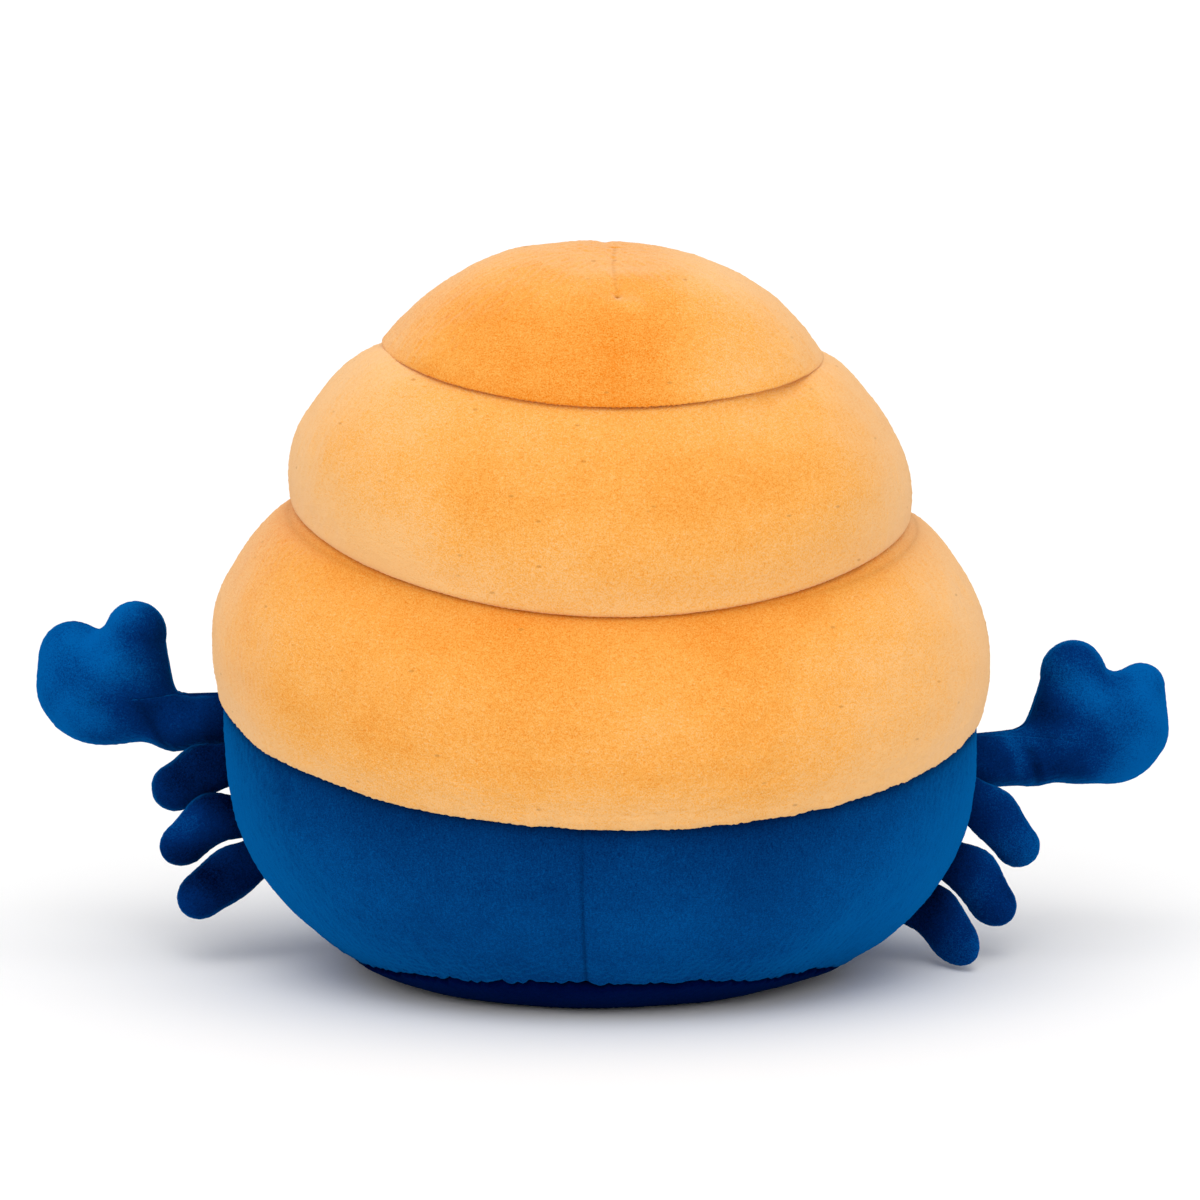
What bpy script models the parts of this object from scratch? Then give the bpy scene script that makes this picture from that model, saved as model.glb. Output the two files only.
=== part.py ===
"""A plush hermit crab: a round blue body on a flat base panel, a three-tier orange shell sewn on
top of it, two stuffed claws and six stuffed legs sewn into the side seams, and an embroidered face.

Metres, +Z up. The origin is the middle of the flat patch that the toy sits on. The crab faces +Y,
so its back is towards -Y and its right-hand side towards +X.

Body and shell are one stack of stuffed rolls. Each is a profile of half-widths and heights turned
into oval rings, and then slump() lets the whole stack settle as a stuffed toy does."""

import math

import bpy
import numpy as np

# Body: a bowl that rises from the flat patch it sits on to the shell seam, which is its opening
BASE_HALF_WIDTH = 0.0475
BASE_HALF_DEPTH = 0.0540
BODY_HALF_WIDTH = 0.0985
BODY_HALF_DEPTH = 0.0867
BODY_WIDEST_HEIGHT = 0.0620
BASE_SEAM_HEIGHT_AT_BACK = 0.0095
BASE_SEAM_HEIGHT_AT_SIDE = 0.0030
SHELL_SEAM_HEIGHT = 0.0667

# Lower tier of the shell
LOWER_HALF_WIDTH = 0.1014
LOWER_WIDEST_HEIGHT = 0.0792
MIDDLE_SEAM_HALF_WIDTH = 0.0745
MIDDLE_SEAM_HEIGHT = 0.1155

# Middle tier of the shell
MIDDLE_HALF_WIDTH = 0.0806
MIDDLE_WIDEST_HEIGHT = 0.1160
CAP_SEAM_HALF_WIDTH = 0.0500
CAP_SEAM_HEIGHT = 0.1636

# Cap of the shell, with a dart that runs from its front edge over the top to a point behind it
CAP_HALF_WIDTH = 0.0570
CAP_TOP_HEIGHT = 0.1890
DART_HALF_WIDTH = 0.0310
DART_TURN = math.radians(7.0)
CAP_SIDE_FULLNESS = (0.906, 0.19)
CAP_TOP_FULLNESS = 0.614
CAP_MIDDLE_RADIUS = 0.0022

# How the stuffed stack settles: its levels tip down at the back and at the right-hand side, and
# the soft rolls ride up at the sides
BODY_TIP = math.radians(9.2)
CAP_TIP = math.radians(7.2)
CAP_TIP_HEIGHT = 0.1312
SIDE_TIP = math.radians(1.45)
SIDE_TIP_HEIGHT = 0.0300
SIDE_LIFT_PER_METRE = 1.60
SIDE_LIFT_START_HEIGHT = 0.0450
SIDE_LIFT_FULL_HEIGHT = 0.1150
STACK_LEAN = 0.0100
SHELL_LEAN = -0.0002
CAP_LEAN = 0.0016

# Sewing
SEAM_GAP = 0.0003
SEAM_DEPTH = 0.0015
SEAM_HALF_WIDTH = 0.0022
SIDE_SEAM_ANGLE = math.radians(6.0)
BACK_SEAM_TURN = math.radians(-2.6)
MIDDLE_LIP = 0.0022
CAP_LIP = 0.0008

# Claws: height where each is sewn in, and then how far out from there and up the middles of its
# wrist, palm, finger tip and thumb tip lie, each with its radius. The arm leaves the seam a little up
CLAW_SEAM_ANGLE = math.radians(15.0)
LEFT_CLAW_HEIGHT = 0.0511
LEFT_ARM_UP = 0.0036
LEFT_CLAW = {
    "wrist": (0.0167, 0.0024, 0.0065),
    "palm": (0.0384, 0.0136, 0.0147),
    "finger": (0.0274, 0.0278, 0.0083),
    "thumb": (0.0471, 0.0234, 0.0085),
}
RIGHT_CLAW_HEIGHT = 0.0492
RIGHT_ARM_UP = 0.0012
RIGHT_CLAW = {
    "wrist": (0.0170, 0.0007, 0.0066),
    "palm": (0.0398, 0.0110, 0.0152),
    "finger": (0.0301, 0.0249, 0.0088),
    "thumb": (0.0505, 0.0208, 0.0077),
}
PALM_HALF_STRETCH = 0.0040
FINGER_ROOT_STEP = 0.0043
THUMB_ROOT_STEP = 0.0039
FINGER_TAPER = 0.0010

# Legs, upper one first: angle and height where each is sewn in, how far out and up the middle of its
# round tip lies, how far it bows up, backward sweep of the tip, and radius of the tip
LEFT_LEGS = {
    "front": (math.radians(9.4), 0.0464, 0.0176, -0.0046, 0.0017, 0.0005, 0.0064),
    "middle": (math.radians(5.8), 0.0340, 0.0172, -0.0003, 0.0035, 0.0075, 0.0057),
    "rear": (math.radians(3.0), 0.0255, 0.0182, -0.0016, 0.0004, 0.0080, 0.0060),
}
RIGHT_LEGS = {
    "front": (math.radians(9.5), 0.0437, 0.0180, -0.0110, 0.0015, 0.0030, 0.0057),
    "middle": (math.radians(6.0), 0.0284, 0.0168, -0.0049, 0.0024, 0.0070, 0.0057),
    "rear": (math.radians(3.0), 0.0159, 0.0119, 0.0018, 0.0024, 0.0180, 0.0059),
}
LEG_RADIUS = 0.0050

# All limbs are two flat pieces sewn together, stuffed, and pinched flat at the root
LIMB_FLATNESS = 0.78
LIMB_BLEND = 0.0020
ROOT_PINCH = 0.30
ROOT_PINCH_LENGTH = 0.0090
LIMB_EDGE = 0.0004
LIMB_STUB = 0.0060
LIMB_REACH = 0.0800

# Face
EYE_HALF_WIDTH = 0.0055
EYE_HALF_HEIGHT = 0.0070
EYE_SPACING = 0.0560
EYE_HEIGHT = 0.0430
THREAD_THICKNESS = 0.0012
MOUTH_HALF_WIDTH = 0.0085
MOUTH_DROP = 0.0045
MOUTH_HEIGHT = 0.0375
MOUTH_THREAD_RADIUS = 0.0009

# Facets
TURN_COLUMNS = 56
CLAW_FACETS = (40, 5)
LEG_FACETS = (24, 4)

# Colours and roughness of the plush and the thread
ORANGE = (0.93, 0.42, 0.09)
BLUE = (0.008, 0.080, 0.270)
BASE_BLUE = (0.006, 0.030, 0.120)
THREAD = (0.012, 0.012, 0.014)
PLUSH_ROUGHNESS = 0.95
THREAD_ROUGHNESS = 0.55

BACK = math.radians(-90.0)
FRONT = math.radians(90.0)


# Shared shape rules


def ramp(value, start, end):
    """0 up to start, 1 from end on, and a smooth rise between them."""
    share = min(max((value - start) / (end - start), 0.0), 1.0)
    return share * share * (3.0 - 2.0 * share)


def slump(x, y, height):
    """Where a point of the upright stack lies once the toy has settled. The base stays flat."""
    tip = BODY_TIP * ramp(height, 0.0, SHELL_SEAM_HEIGHT)
    tip -= (BODY_TIP - CAP_TIP) * ramp(height, SHELL_SEAM_HEIGHT, CAP_TIP_HEIGHT)
    side = math.tan(SIDE_TIP) * ramp(height, 0.0, SIDE_TIP_HEIGHT)
    rise = (height - SIDE_LIFT_START_HEIGHT) / (SIDE_LIFT_FULL_HEIGHT - SIDE_LIFT_START_HEIGHT)
    lift = SIDE_LIFT_PER_METRE * min(max(rise, 0.0), 1.0)
    back = STACK_LEAN * ramp(height, 0.0, CAP_TOP_HEIGHT)
    right = SHELL_LEAN * ramp(height, BODY_WIDEST_HEIGHT, LOWER_WIDEST_HEIGHT)
    right += CAP_LEAN * ramp(height, CAP_TIP_HEIGHT, CAP_TOP_HEIGHT)
    return x + right, y - back, height + y * math.tan(tip) - x * side + lift * x * x


def bezier(start, handle_a, handle_b, end, steps):
    """Points (half-width, height) along a cubic curve, both ends included."""
    points = []
    for step in range(steps + 1):
        t = step / steps
        weights = ((1 - t) ** 3, 3 * t * (1 - t) ** 2, 3 * t * t * (1 - t), t**3)
        knots = (start, handle_a, handle_b, end)
        points.append(tuple(sum(w * k[i] for w, k in zip(weights, knots)) for i in (0, 1)))
    return points


def bowl(height):
    """Half-width of the body at a height: a quarter of an ellipse up to its widest level."""
    fall = max(0.0, BODY_WIDEST_HEIGHT - height) / BODY_WIDEST_HEIGHT
    swell = math.sqrt(max(0.0, 1.0 - fall * fall))
    return BASE_HALF_WIDTH + (BODY_HALF_WIDTH - BASE_HALF_WIDTH) * swell


def depth_ratio(height):
    """Half-depth of a ring per half-width. The base is rounder than the rolls above it."""
    fall = max(0.0, BODY_WIDEST_HEIGHT - height) / BODY_WIDEST_HEIGHT
    swell = math.sqrt(max(0.0, 1.0 - fall * fall))
    return (BASE_HALF_DEPTH + (BODY_HALF_DEPTH - BASE_HALF_DEPTH) * swell) / bowl(height)


def base_seam(angle):
    """Height of the base seam, which dips at the sides."""
    rounded = 0.2
    share = (math.hypot(math.sin(angle), rounded) - rounded) / (math.hypot(1.0, rounded) - rounded)
    return BASE_SEAM_HEIGHT_AT_SIDE + (BASE_SEAM_HEIGHT_AT_BACK - BASE_SEAM_HEIGHT_AT_SIDE) * share


def turn_angles(seams):
    """Even angles round the stack, with a tight group of three at each seam to hold its groove."""
    step = 2.0 * math.pi / TURN_COLUMNS
    groove = SEAM_HALF_WIDTH / BODY_HALF_WIDTH
    angles = []
    for seam, _ in seams:
        angles += [seam - groove, seam, seam + groove]
    for column in range(TURN_COLUMNS):
        angle = BACK + column * step
        apart = [abs(math.remainder(angle - seam, 2.0 * math.pi)) for seam, _ in seams]
        if min(apart) > groove + 0.4 * step:
            angles.append(angle)
    return sorted(angle % (2.0 * math.pi) for angle in angles)


def groove_depth(angle, half_width, seams):
    """How far upright seams pull the fabric in. Each seam is (angle, widest ring that it crosses)."""
    deepest = 0.0
    for seam, reach in seams:
        apart = abs(math.remainder(angle - seam, 2.0 * math.pi))
        if apart < 0.5 * SEAM_HALF_WIDTH / BODY_HALF_WIDTH and half_width <= reach:
            deepest = 0.6 * SEAM_DEPTH
    return deepest * min(1.0, half_width / CAP_HALF_WIDTH)


# Mesh builders


def plush(name, colour, roughness=PLUSH_ROUGHNESS):
    """A plain fabric material."""
    material = bpy.data.materials.get(name) or bpy.data.materials.new(name)
    material.use_nodes = True
    shader = material.node_tree.nodes["Principled BSDF"]
    shader.inputs["Base Color"].default_value = (*colour, 1.0)
    shader.inputs["Roughness"].default_value = roughness
    shader.inputs["Metallic"].default_value = 0.0
    material.diffuse_color = (*colour, 1.0)
    return material


def add_object(name, points, faces, material):
    """A smooth-shaded mesh object from points and faces."""
    mesh = bpy.data.meshes.new(name)
    mesh.from_pydata([tuple(p) for p in points], [], faces)
    mesh.validate()
    mesh.shade_smooth()
    mesh.set_sharp_from_angle(angle=math.radians(50.0))
    mesh.materials.append(material)
    item = bpy.data.objects.new(name, mesh)
    bpy.context.scene.collection.objects.link(item)
    return item


def turned_roll(name, profile, seams, material):
    """Oval rings from the bottom to the top of a roll, let down by slump(). profile(angle) gives the
    half-width and height of each ring at an angle; flat fans close the bottom and the top."""
    angles = turn_angles(seams)
    count = len(angles)
    columns = [profile(angle) for angle in angles]
    rings = len(columns[0])
    points = []
    for ring in range(rings):
        for angle, column in zip(angles, columns):
            half_width, height = column[ring]
            reach = half_width - groove_depth(angle, half_width, seams)
            across = reach * math.sin(angle) * depth_ratio(height)
            points.append(slump(reach * math.cos(angle), across, height))
    faces = []
    for ring in range(rings - 1):
        for column in range(count):
            after = (column + 1) % count
            low, high = ring * count, (ring + 1) * count
            faces.append((low + column, low + after, high + after, high + column))
    top = (rings - 1) * count
    points.append(slump(0.0, 0.0, columns[0][0][1]))
    points.append(slump(0.0, 0.0, columns[0][-1][1]))
    for column in range(count):
        after = (column + 1) % count
        faces.append((after, column, len(points) - 2))
        faces.append((top + column, top + after, len(points) - 1))
    return add_object(name, points, faces, material)


# The stack


def base_panel(material):
    """The shallow dish that the toy sits on, up to the seam where it joins the body."""

    def profile(angle):
        seam = base_seam(angle)
        column = [(bowl(seam * share), seam * share) for share in (0.0, 0.10, 0.36, 0.70)]
        column.append((bowl(seam) - 0.2 * SEAM_DEPTH, 0.94 * seam))
        column.append((bowl(seam) - SEAM_DEPTH, seam - 0.5 * SEAM_GAP))
        return column

    return turned_roll("base_panel", profile, [(BACK, 0.0)], material)


def body(material):
    """The stuffed body between the base seam and the shell seam, with its back and side seams."""
    shares = (0.03, 0.11, 0.22, 0.36, 0.52, 0.70, 0.86)

    def profile(angle):
        seam = base_seam(angle)
        rise = SHELL_SEAM_HEIGHT - SEAM_DEPTH - seam
        column = [(bowl(seam) - SEAM_DEPTH, seam + 0.5 * SEAM_GAP)]
        column += [(bowl(seam + rise * share), seam + rise * share) for share in shares]
        column.append((BODY_HALF_WIDTH - 0.2 * SEAM_DEPTH, SHELL_SEAM_HEIGHT - 0.8 * SEAM_DEPTH))
        column.append((BODY_HALF_WIDTH - SEAM_DEPTH, SHELL_SEAM_HEIGHT - 0.5 * SEAM_GAP))
        return column

    sides = [(SIDE_SEAM_ANGLE, 1.0), (math.pi - SIDE_SEAM_ANGLE, 1.0)]
    return turned_roll("body", profile, [(BACK + BACK_SEAM_TURN, 1.0)] + sides, material)


def lower_shoulder(steps):
    """The top of the lower tier, from its widest level in to the middle seam."""
    start = (LOWER_HALF_WIDTH, LOWER_WIDEST_HEIGHT)
    end = (MIDDLE_SEAM_HALF_WIDTH, MIDDLE_SEAM_HEIGHT)
    rise = end[1] - start[1]
    reach = start[0] - end[0]
    side = (start[0], start[1] + 0.38 * rise)
    top = (end[0] + 0.30 * reach, end[1] - 0.22 * rise)
    return bezier(start, side, top, end, steps)


def lower_tier(material):
    """The widest roll of the shell, sewn to the body along the shell seam."""
    seam = (BODY_HALF_WIDTH - SEAM_DEPTH, SHELL_SEAM_HEIGHT + 0.5 * SEAM_GAP)
    lip = (BODY_HALF_WIDTH - 0.2 * SEAM_DEPTH, SHELL_SEAM_HEIGHT + 0.8 * SEAM_DEPTH)
    widest = (LOWER_HALF_WIDTH, LOWER_WIDEST_HEIGHT)
    climb = widest[1] - lip[1]
    handles = (lip[0] + 0.25 * climb, lip[1] + 0.35 * climb), (widest[0], widest[1] - 0.4 * climb)
    side = bezier(lip, *handles, widest, 3)
    column = [seam] + side + lower_shoulder(8)[1:]
    return turned_roll("shell_lower_tier", lambda angle: column, [(FRONT, 1.0)], material)


def rest_on(shoulder, half_width):
    """The underside of a roll that rests on a shoulder: from the seam out to a half-width, one seam
    gap above it."""
    inside = [point for point in reversed(shoulder) if point[0] < half_width]
    last, beyond = inside[-1], [point for point in shoulder if point[0] >= half_width][-1]
    share = (half_width - last[0]) / (beyond[0] - last[0])
    edge = (half_width, last[1] + share * (beyond[1] - last[1]))
    return [(w, h + SEAM_GAP) for w, h in inside[:-1:3] + [edge]]


def middle_shoulder(steps):
    """The top of the middle tier, from its widest level in to the cap seam."""
    start = (MIDDLE_HALF_WIDTH, MIDDLE_WIDEST_HEIGHT)
    end = (CAP_SEAM_HALF_WIDTH, CAP_SEAM_HEIGHT)
    rise = end[1] - start[1]
    reach = start[0] - end[0]
    side = (start[0], start[1] + 0.44 * rise)
    top = (end[0] + 0.36 * reach, end[1] - 0.17 * rise)
    return bezier(start, side, top, end, steps)


def middle_tier(material):
    """The middle roll. Its rounded lip hangs over the seam and rests on the lower tier's shoulder."""
    under = rest_on(lower_shoulder(24), MIDDLE_HALF_WIDTH - MIDDLE_LIP)
    edge = under[-1]
    widest = (MIDDLE_HALF_WIDTH, MIDDLE_WIDEST_HEIGHT)
    bend = (edge[0] + 0.8 * MIDDLE_LIP, edge[1] - 0.3 * MIDDLE_LIP)
    handles = bend, (widest[0], edge[1] + 0.45 * (widest[1] - edge[1]))
    column = under + bezier(edge, *handles, widest, 3)[1:] + middle_shoulder(8)[1:]
    return turned_roll("shell_middle_tier", lambda angle: column, [(FRONT, 1.0)], material)


def cap(material):
    """The domed top of the shell, which rests on the middle tier's shoulder."""
    under = rest_on(middle_shoulder(24), CAP_HALF_WIDTH - CAP_LIP)
    edge = under[-1]
    lip = (CAP_HALF_WIDTH, edge[1] + CAP_LIP)
    rise = CAP_TOP_HEIGHT - lip[1]
    side = (CAP_SIDE_FULLNESS[0] * lip[0], lip[1] + CAP_SIDE_FULLNESS[1] * rise)
    handles = side, (CAP_TOP_FULLNESS * lip[0], CAP_TOP_HEIGHT)
    column = under + bezier(lip, *handles, (CAP_MIDDLE_RADIUS, CAP_TOP_HEIGHT), 8)
    seams = [(FRONT, 1.0), (BACK + DART_TURN, DART_HALF_WIDTH)]
    return turned_roll("shell_cap", lambda angle: column, seams, material)


# Limbs


def lobe_distance(points, lobes, thickness):
    """Signed distance to a smooth union of round-ended tapering lobes. Each lobe is
    (start, end, radius at start, radius at end) in the limb's own plane."""
    total = np.zeros(points.shape[:-1])
    for start, end, radius_a, radius_b in lobes:
        start, end = np.array(start), np.array(end)
        along = end - start
        share = np.clip(((points - start) @ along) / (along @ along), 0.0, 1.0)
        off = points - (start + share[..., None] * along)
        flat = np.sqrt((off**2).sum(-1) + (thickness / LIMB_FLATNESS) ** 2)
        total += np.exp(-(flat - (radius_a + share * (radius_b - radius_a))) / LIMB_BLEND)
    return -LIMB_BLEND * np.log(total)


def first_zero(rule, far):
    """For each entry of far, the value between 0 and far where the rising rule passes zero."""
    low, high = np.zeros_like(far), far.copy()
    for _ in range(40):
        middle = 0.5 * (low + high)
        inside = rule(middle) < 0.0
        low, high = np.where(inside, middle, low), np.where(inside, high, middle)
    return 0.5 * (low + high)


def limb_outline(lobes, centre, columns):
    """Points round a limb's flat outline, evenly spaced, cut straight at the root where it is sewn in."""
    angles = np.linspace(0.0, 2.0 * math.pi, 2881)
    rays = np.stack([np.cos(angles), np.sin(angles)], -1)
    far = np.full(len(angles), LIMB_REACH)
    reach = first_zero(lambda r: lobe_distance(centre + rays * r[:, None], lobes, 0.0), far)
    to_root = np.where(rays[:, 0] < -1e-6, centre[0] / np.maximum(-rays[:, 0], 1e-6), 1.0)
    edge = centre + rays * np.minimum(reach, to_root)[:, None]
    travelled = np.concatenate([[0.0], np.cumsum(np.linalg.norm(np.diff(edge, axis=0), axis=1))])
    stops = np.arange(columns) / columns * travelled[-1]
    outline = np.stack([np.interp(stops, travelled, edge[:, i]) for i in (0, 1)], -1)
    on_root = np.flatnonzero(to_root <= reach)
    for corner in (edge[on_root[0]], edge[on_root[-1]]):
        outline[np.linalg.norm(outline - corner, axis=1).argmin()] = corner
    return outline


def limb(name, lobes, centre, seat, sweep, facets, material):
    """A stuffed limb: its outline shrinks towards its middle ring by ring, and each point stands as
    thick as the lobes are there. The root is pinched. seat is (point, out, up, side)."""
    centre = np.array(centre)
    outline = limb_outline(lobes, centre, facets[0])
    shares = np.sin(np.linspace(math.pi / 2.0, 0.0, facets[1] + 1))[:-1]
    rings = [centre + (outline - centre) * share for share in shares] + [centre[None]]
    flat = np.concatenate(rings)
    rise = first_zero(lambda t: lobe_distance(flat, lobes, t), np.full(len(flat), 0.03))
    pinch = ROOT_PINCH + (1.0 - ROOT_PINCH) * np.clip(flat[:, 0] / ROOT_PINCH_LENGTH, 0.0, 1.0) ** 0.7
    rise = np.maximum(rise * pinch, LIMB_EDGE)
    point, out, up, side = (np.array(v) for v in seat)
    swing = sweep * (flat[:, :1] / flat[:, 0].max()) ** 2
    middle = point + flat[:, :1] * out + flat[:, 1:] * up + swing * side
    points = np.concatenate([middle + rise[:, None] * side, middle - rise[:, None] * side])
    return add_object(name, points, limb_faces(len(outline), len(shares), len(flat)), material)


def limb_faces(columns, rings, offset):
    """Faces of the two sides of a limb and of the edge strip between them."""
    faces = []
    tip = columns * rings
    for column in range(columns):
        after = (column + 1) % columns
        for ring in range(rings - 1):
            a, b = ring * columns + column, ring * columns + after
            c, d = b + columns, a + columns
            faces.append((a, b, c, d))
            faces.append((offset + a, offset + d, offset + c, offset + b))
        a, b = tip - columns + column, tip - columns + after
        faces.append((a, b, tip))
        faces.append((offset + b, offset + a, offset + tip))
        faces.append((after, column, offset + column, offset + after))
    return faces


def body_surface(angle, height):
    """A point of the body's settled surface and the outward direction there."""

    def at(a, h):
        return np.array(slump(bowl(h) * math.cos(a), bowl(h) * math.sin(a) * depth_ratio(h), h))

    small = 1e-5
    point = at(angle, height)
    normal = np.cross(at(angle + small, height) - point, at(angle, height + small) - point)
    return point, normal / np.linalg.norm(normal)


def limb_seat(right, angle, height):
    """Where a limb is sewn into the body's side: the point, and the out, up and backward directions."""
    point, out = body_surface(angle if right else math.pi - angle, height)
    up = np.array((0.0, 0.0, 1.0)) - out * out[2]
    up /= np.linalg.norm(up)
    side = np.cross(out, up)
    return point + out * SEAM_GAP * 1.5, out, up, side


def claw(name, right, height, arm_up, shape, material):
    """A claw: an arm that swells into a round palm with a long finger and a short thumb."""
    wrist, palm, finger, thumb = (shape[key] for key in ("wrist", "palm", "finger", "thumb"))
    out, up, palm_radius = palm
    inner, outer = (out - PALM_HALF_STRETCH, up), (out + PALM_HALF_STRETCH, up)
    finger_root, thumb_root = (out - FINGER_ROOT_STEP, up), (out + THUMB_ROOT_STEP, up)
    lobes = [
        ((-LIMB_STUB, arm_up), wrist[:2], wrist[2], wrist[2]),
        (wrist[:2], palm[:2], wrist[2], 0.7 * palm_radius),
        (inner, outer, palm_radius, palm_radius),
        (finger_root, finger[:2], finger[2] - FINGER_TAPER, finger[2]),
        (thumb_root, thumb[:2], thumb[2] - FINGER_TAPER, thumb[2]),
    ]
    seat = limb_seat(right, CLAW_SEAM_ANGLE, height)
    return limb(name, lobes, (0.9 * out, 0.8 * up), seat, 0.0, CLAW_FACETS, material)


def leg(name, right, shape, material):
    """A short stuffed leg that bows up between its root and its tip and sweeps backward."""
    angle, height, out, up, bow, sweep, tip_radius = shape
    length = math.hypot(out, up)
    knee = (0.5 * out - bow * up / length, 0.5 * up + bow * out / length)
    stub = (-LIMB_STUB, -LIMB_STUB * knee[1] / knee[0])
    knee_radius = 0.5 * (LEG_RADIUS + tip_radius)
    lobes = [
        (stub, knee, LEG_RADIUS, knee_radius),
        (knee, (out, up), knee_radius, tip_radius),
    ]
    centre = (0.5 * (knee[0] + out), 0.5 * (knee[1] + up))
    swing = sweep if right else -sweep
    return limb(name, lobes, centre, limb_seat(right, angle, height), swing, LEG_FACETS, material)


# Face


def eye(name, side, material):
    """A domed upright oval of satin stitch that follows the body."""
    columns, shares = 16, (1.0, 0.90, 0.55)
    points = []
    for thickness in (THREAD_THICKNESS, 0.0):
        for share in shares + (0.0,):
            for column in range(columns if share else 1):
                turn = -2.0 * math.pi * column / columns
                x = 0.5 * side * EYE_SPACING + EYE_HALF_WIDTH * math.cos(turn) * share
                height = EYE_HEIGHT + EYE_HALF_HEIGHT * math.sin(turn) * share
                point, out = body_surface(math.acos(x / bowl(height)), height)
                rise = thickness * (0.2 + 0.8 * math.sqrt(1.0 - share * share))
                points.append(point + out * (SEAM_GAP + rise))
    return add_object(name, points, limb_faces(columns, len(shares), len(points) // 2), material)


def mouth(material):
    """A smile: a raised line of stitches along a shallow curve."""
    stops, columns = 11, 6
    points = []
    for stop in range(stops):
        share = 2.0 * stop / (stops - 1) - 1.0
        x = MOUTH_HALF_WIDTH * share
        height = MOUTH_HEIGHT - MOUTH_DROP * (1.0 - share * share)
        at, out = body_surface(math.acos(x / bowl(height)), height)
        radius = MOUTH_THREAD_RADIUS * (1.0 if 0 < stop < stops - 1 else 0.5)
        slope = math.atan(2.0 * MOUTH_DROP * share / MOUTH_HALF_WIDTH)
        across = np.array((-math.sin(slope), 0.0, math.cos(slope)))
        across -= out * (out @ across)
        across /= np.linalg.norm(across)
        middle = at + out * (SEAM_GAP + MOUTH_THREAD_RADIUS)
        for column in range(columns):
            turn = 2.0 * math.pi * column / columns
            points.append(middle + radius * (math.cos(turn) * across + math.sin(turn) * out))
    faces = [tuple(range(columns)), tuple(reversed(range((stops - 1) * columns, stops * columns)))]
    for stop in range(stops - 1):
        for column in range(columns):
            after = (column + 1) % columns
            low, high = stop * columns, (stop + 1) * columns
            faces.append((low + column, high + column, high + after, low + after))
    return add_object("mouth", points, faces, material)


def main():
    for item in list(bpy.data.objects):
        bpy.data.objects.remove(item)
    orange = plush("orange_plush", ORANGE)
    blue = plush("blue_plush", BLUE)
    base_blue = plush("base_plush", BASE_BLUE)
    thread = plush("black_thread", THREAD, THREAD_ROUGHNESS)
    base_panel(base_blue)
    body(blue)
    lower_tier(orange)
    middle_tier(orange)
    cap(orange)
    claw("claw_left", False, LEFT_CLAW_HEIGHT, LEFT_ARM_UP, LEFT_CLAW, blue)
    claw("claw_right", True, RIGHT_CLAW_HEIGHT, RIGHT_ARM_UP, RIGHT_CLAW, blue)
    for place in ("front", "middle", "rear"):
        leg(f"leg_left_{place}", False, LEFT_LEGS[place], blue)
        leg(f"leg_right_{place}", True, RIGHT_LEGS[place], blue)
    eye("eye_left", -1.0, thread)
    eye("eye_right", 1.0, thread)
    mouth(thread)


main()
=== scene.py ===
"""Plush hermit crab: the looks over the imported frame.

Body and shell are stuffed rolls, each a fine grid of rings round the stack. Claws and legs are two
flat pieces sewn together and stuffed. Every piece starts from the values of the part's source, and
the claws and the shoulders of the shell have a little more shape. Then each gets what sewn plush has:
a cover pressed out by its filling, fabric tucked in at the seams, puckers, soft dents and pile.

Metres, +Z up. The crab faces +Y, and the camera looks at its back."""

import math

import bpy
import numpy as np
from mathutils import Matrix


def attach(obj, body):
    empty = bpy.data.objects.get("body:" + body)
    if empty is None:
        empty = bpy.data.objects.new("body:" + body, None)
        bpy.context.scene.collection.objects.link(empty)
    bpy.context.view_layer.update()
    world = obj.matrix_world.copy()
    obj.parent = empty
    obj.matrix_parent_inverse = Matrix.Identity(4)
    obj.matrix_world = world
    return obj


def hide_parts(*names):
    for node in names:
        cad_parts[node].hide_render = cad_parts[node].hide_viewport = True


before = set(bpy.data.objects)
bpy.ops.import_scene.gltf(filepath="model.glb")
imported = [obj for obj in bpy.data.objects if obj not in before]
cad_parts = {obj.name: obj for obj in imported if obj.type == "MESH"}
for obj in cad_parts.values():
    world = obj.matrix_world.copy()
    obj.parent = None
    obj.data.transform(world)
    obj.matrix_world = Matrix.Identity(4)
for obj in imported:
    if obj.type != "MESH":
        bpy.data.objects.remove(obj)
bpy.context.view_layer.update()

# Body and shell: widths and heights of the stack, as in the part's source
BASE_HALF_WIDTH = 0.0475
BASE_HALF_DEPTH = 0.0540
BODY_HALF_WIDTH = 0.0985
BODY_HALF_DEPTH = 0.0867
BODY_WIDEST_HEIGHT = 0.0620
BASE_SEAM_HEIGHT_AT_BACK = 0.0095
BASE_SEAM_HEIGHT_AT_SIDE = 0.0030
SHELL_SEAM_HEIGHT = 0.0667
LOWER_HALF_WIDTH = 0.1014
LOWER_WIDEST_HEIGHT = 0.0792
MIDDLE_SEAM_HALF_WIDTH = 0.0745
MIDDLE_SEAM_HEIGHT = 0.1155
MIDDLE_HALF_WIDTH = 0.0806
MIDDLE_WIDEST_HEIGHT = 0.1160
CAP_SEAM_HALF_WIDTH = 0.0500
CAP_SEAM_HEIGHT = 0.1636
CAP_HALF_WIDTH = 0.0570
CAP_TOP_HEIGHT = 0.1890
DART_END = 0.0310
DART_ASIDE = 0.0032
CAP_SIDE_FULLNESS = (0.906, 0.19)
CAP_TOP_FULLNESS = 0.614
CAP_MIDDLE_RADIUS = 0.0022

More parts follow.
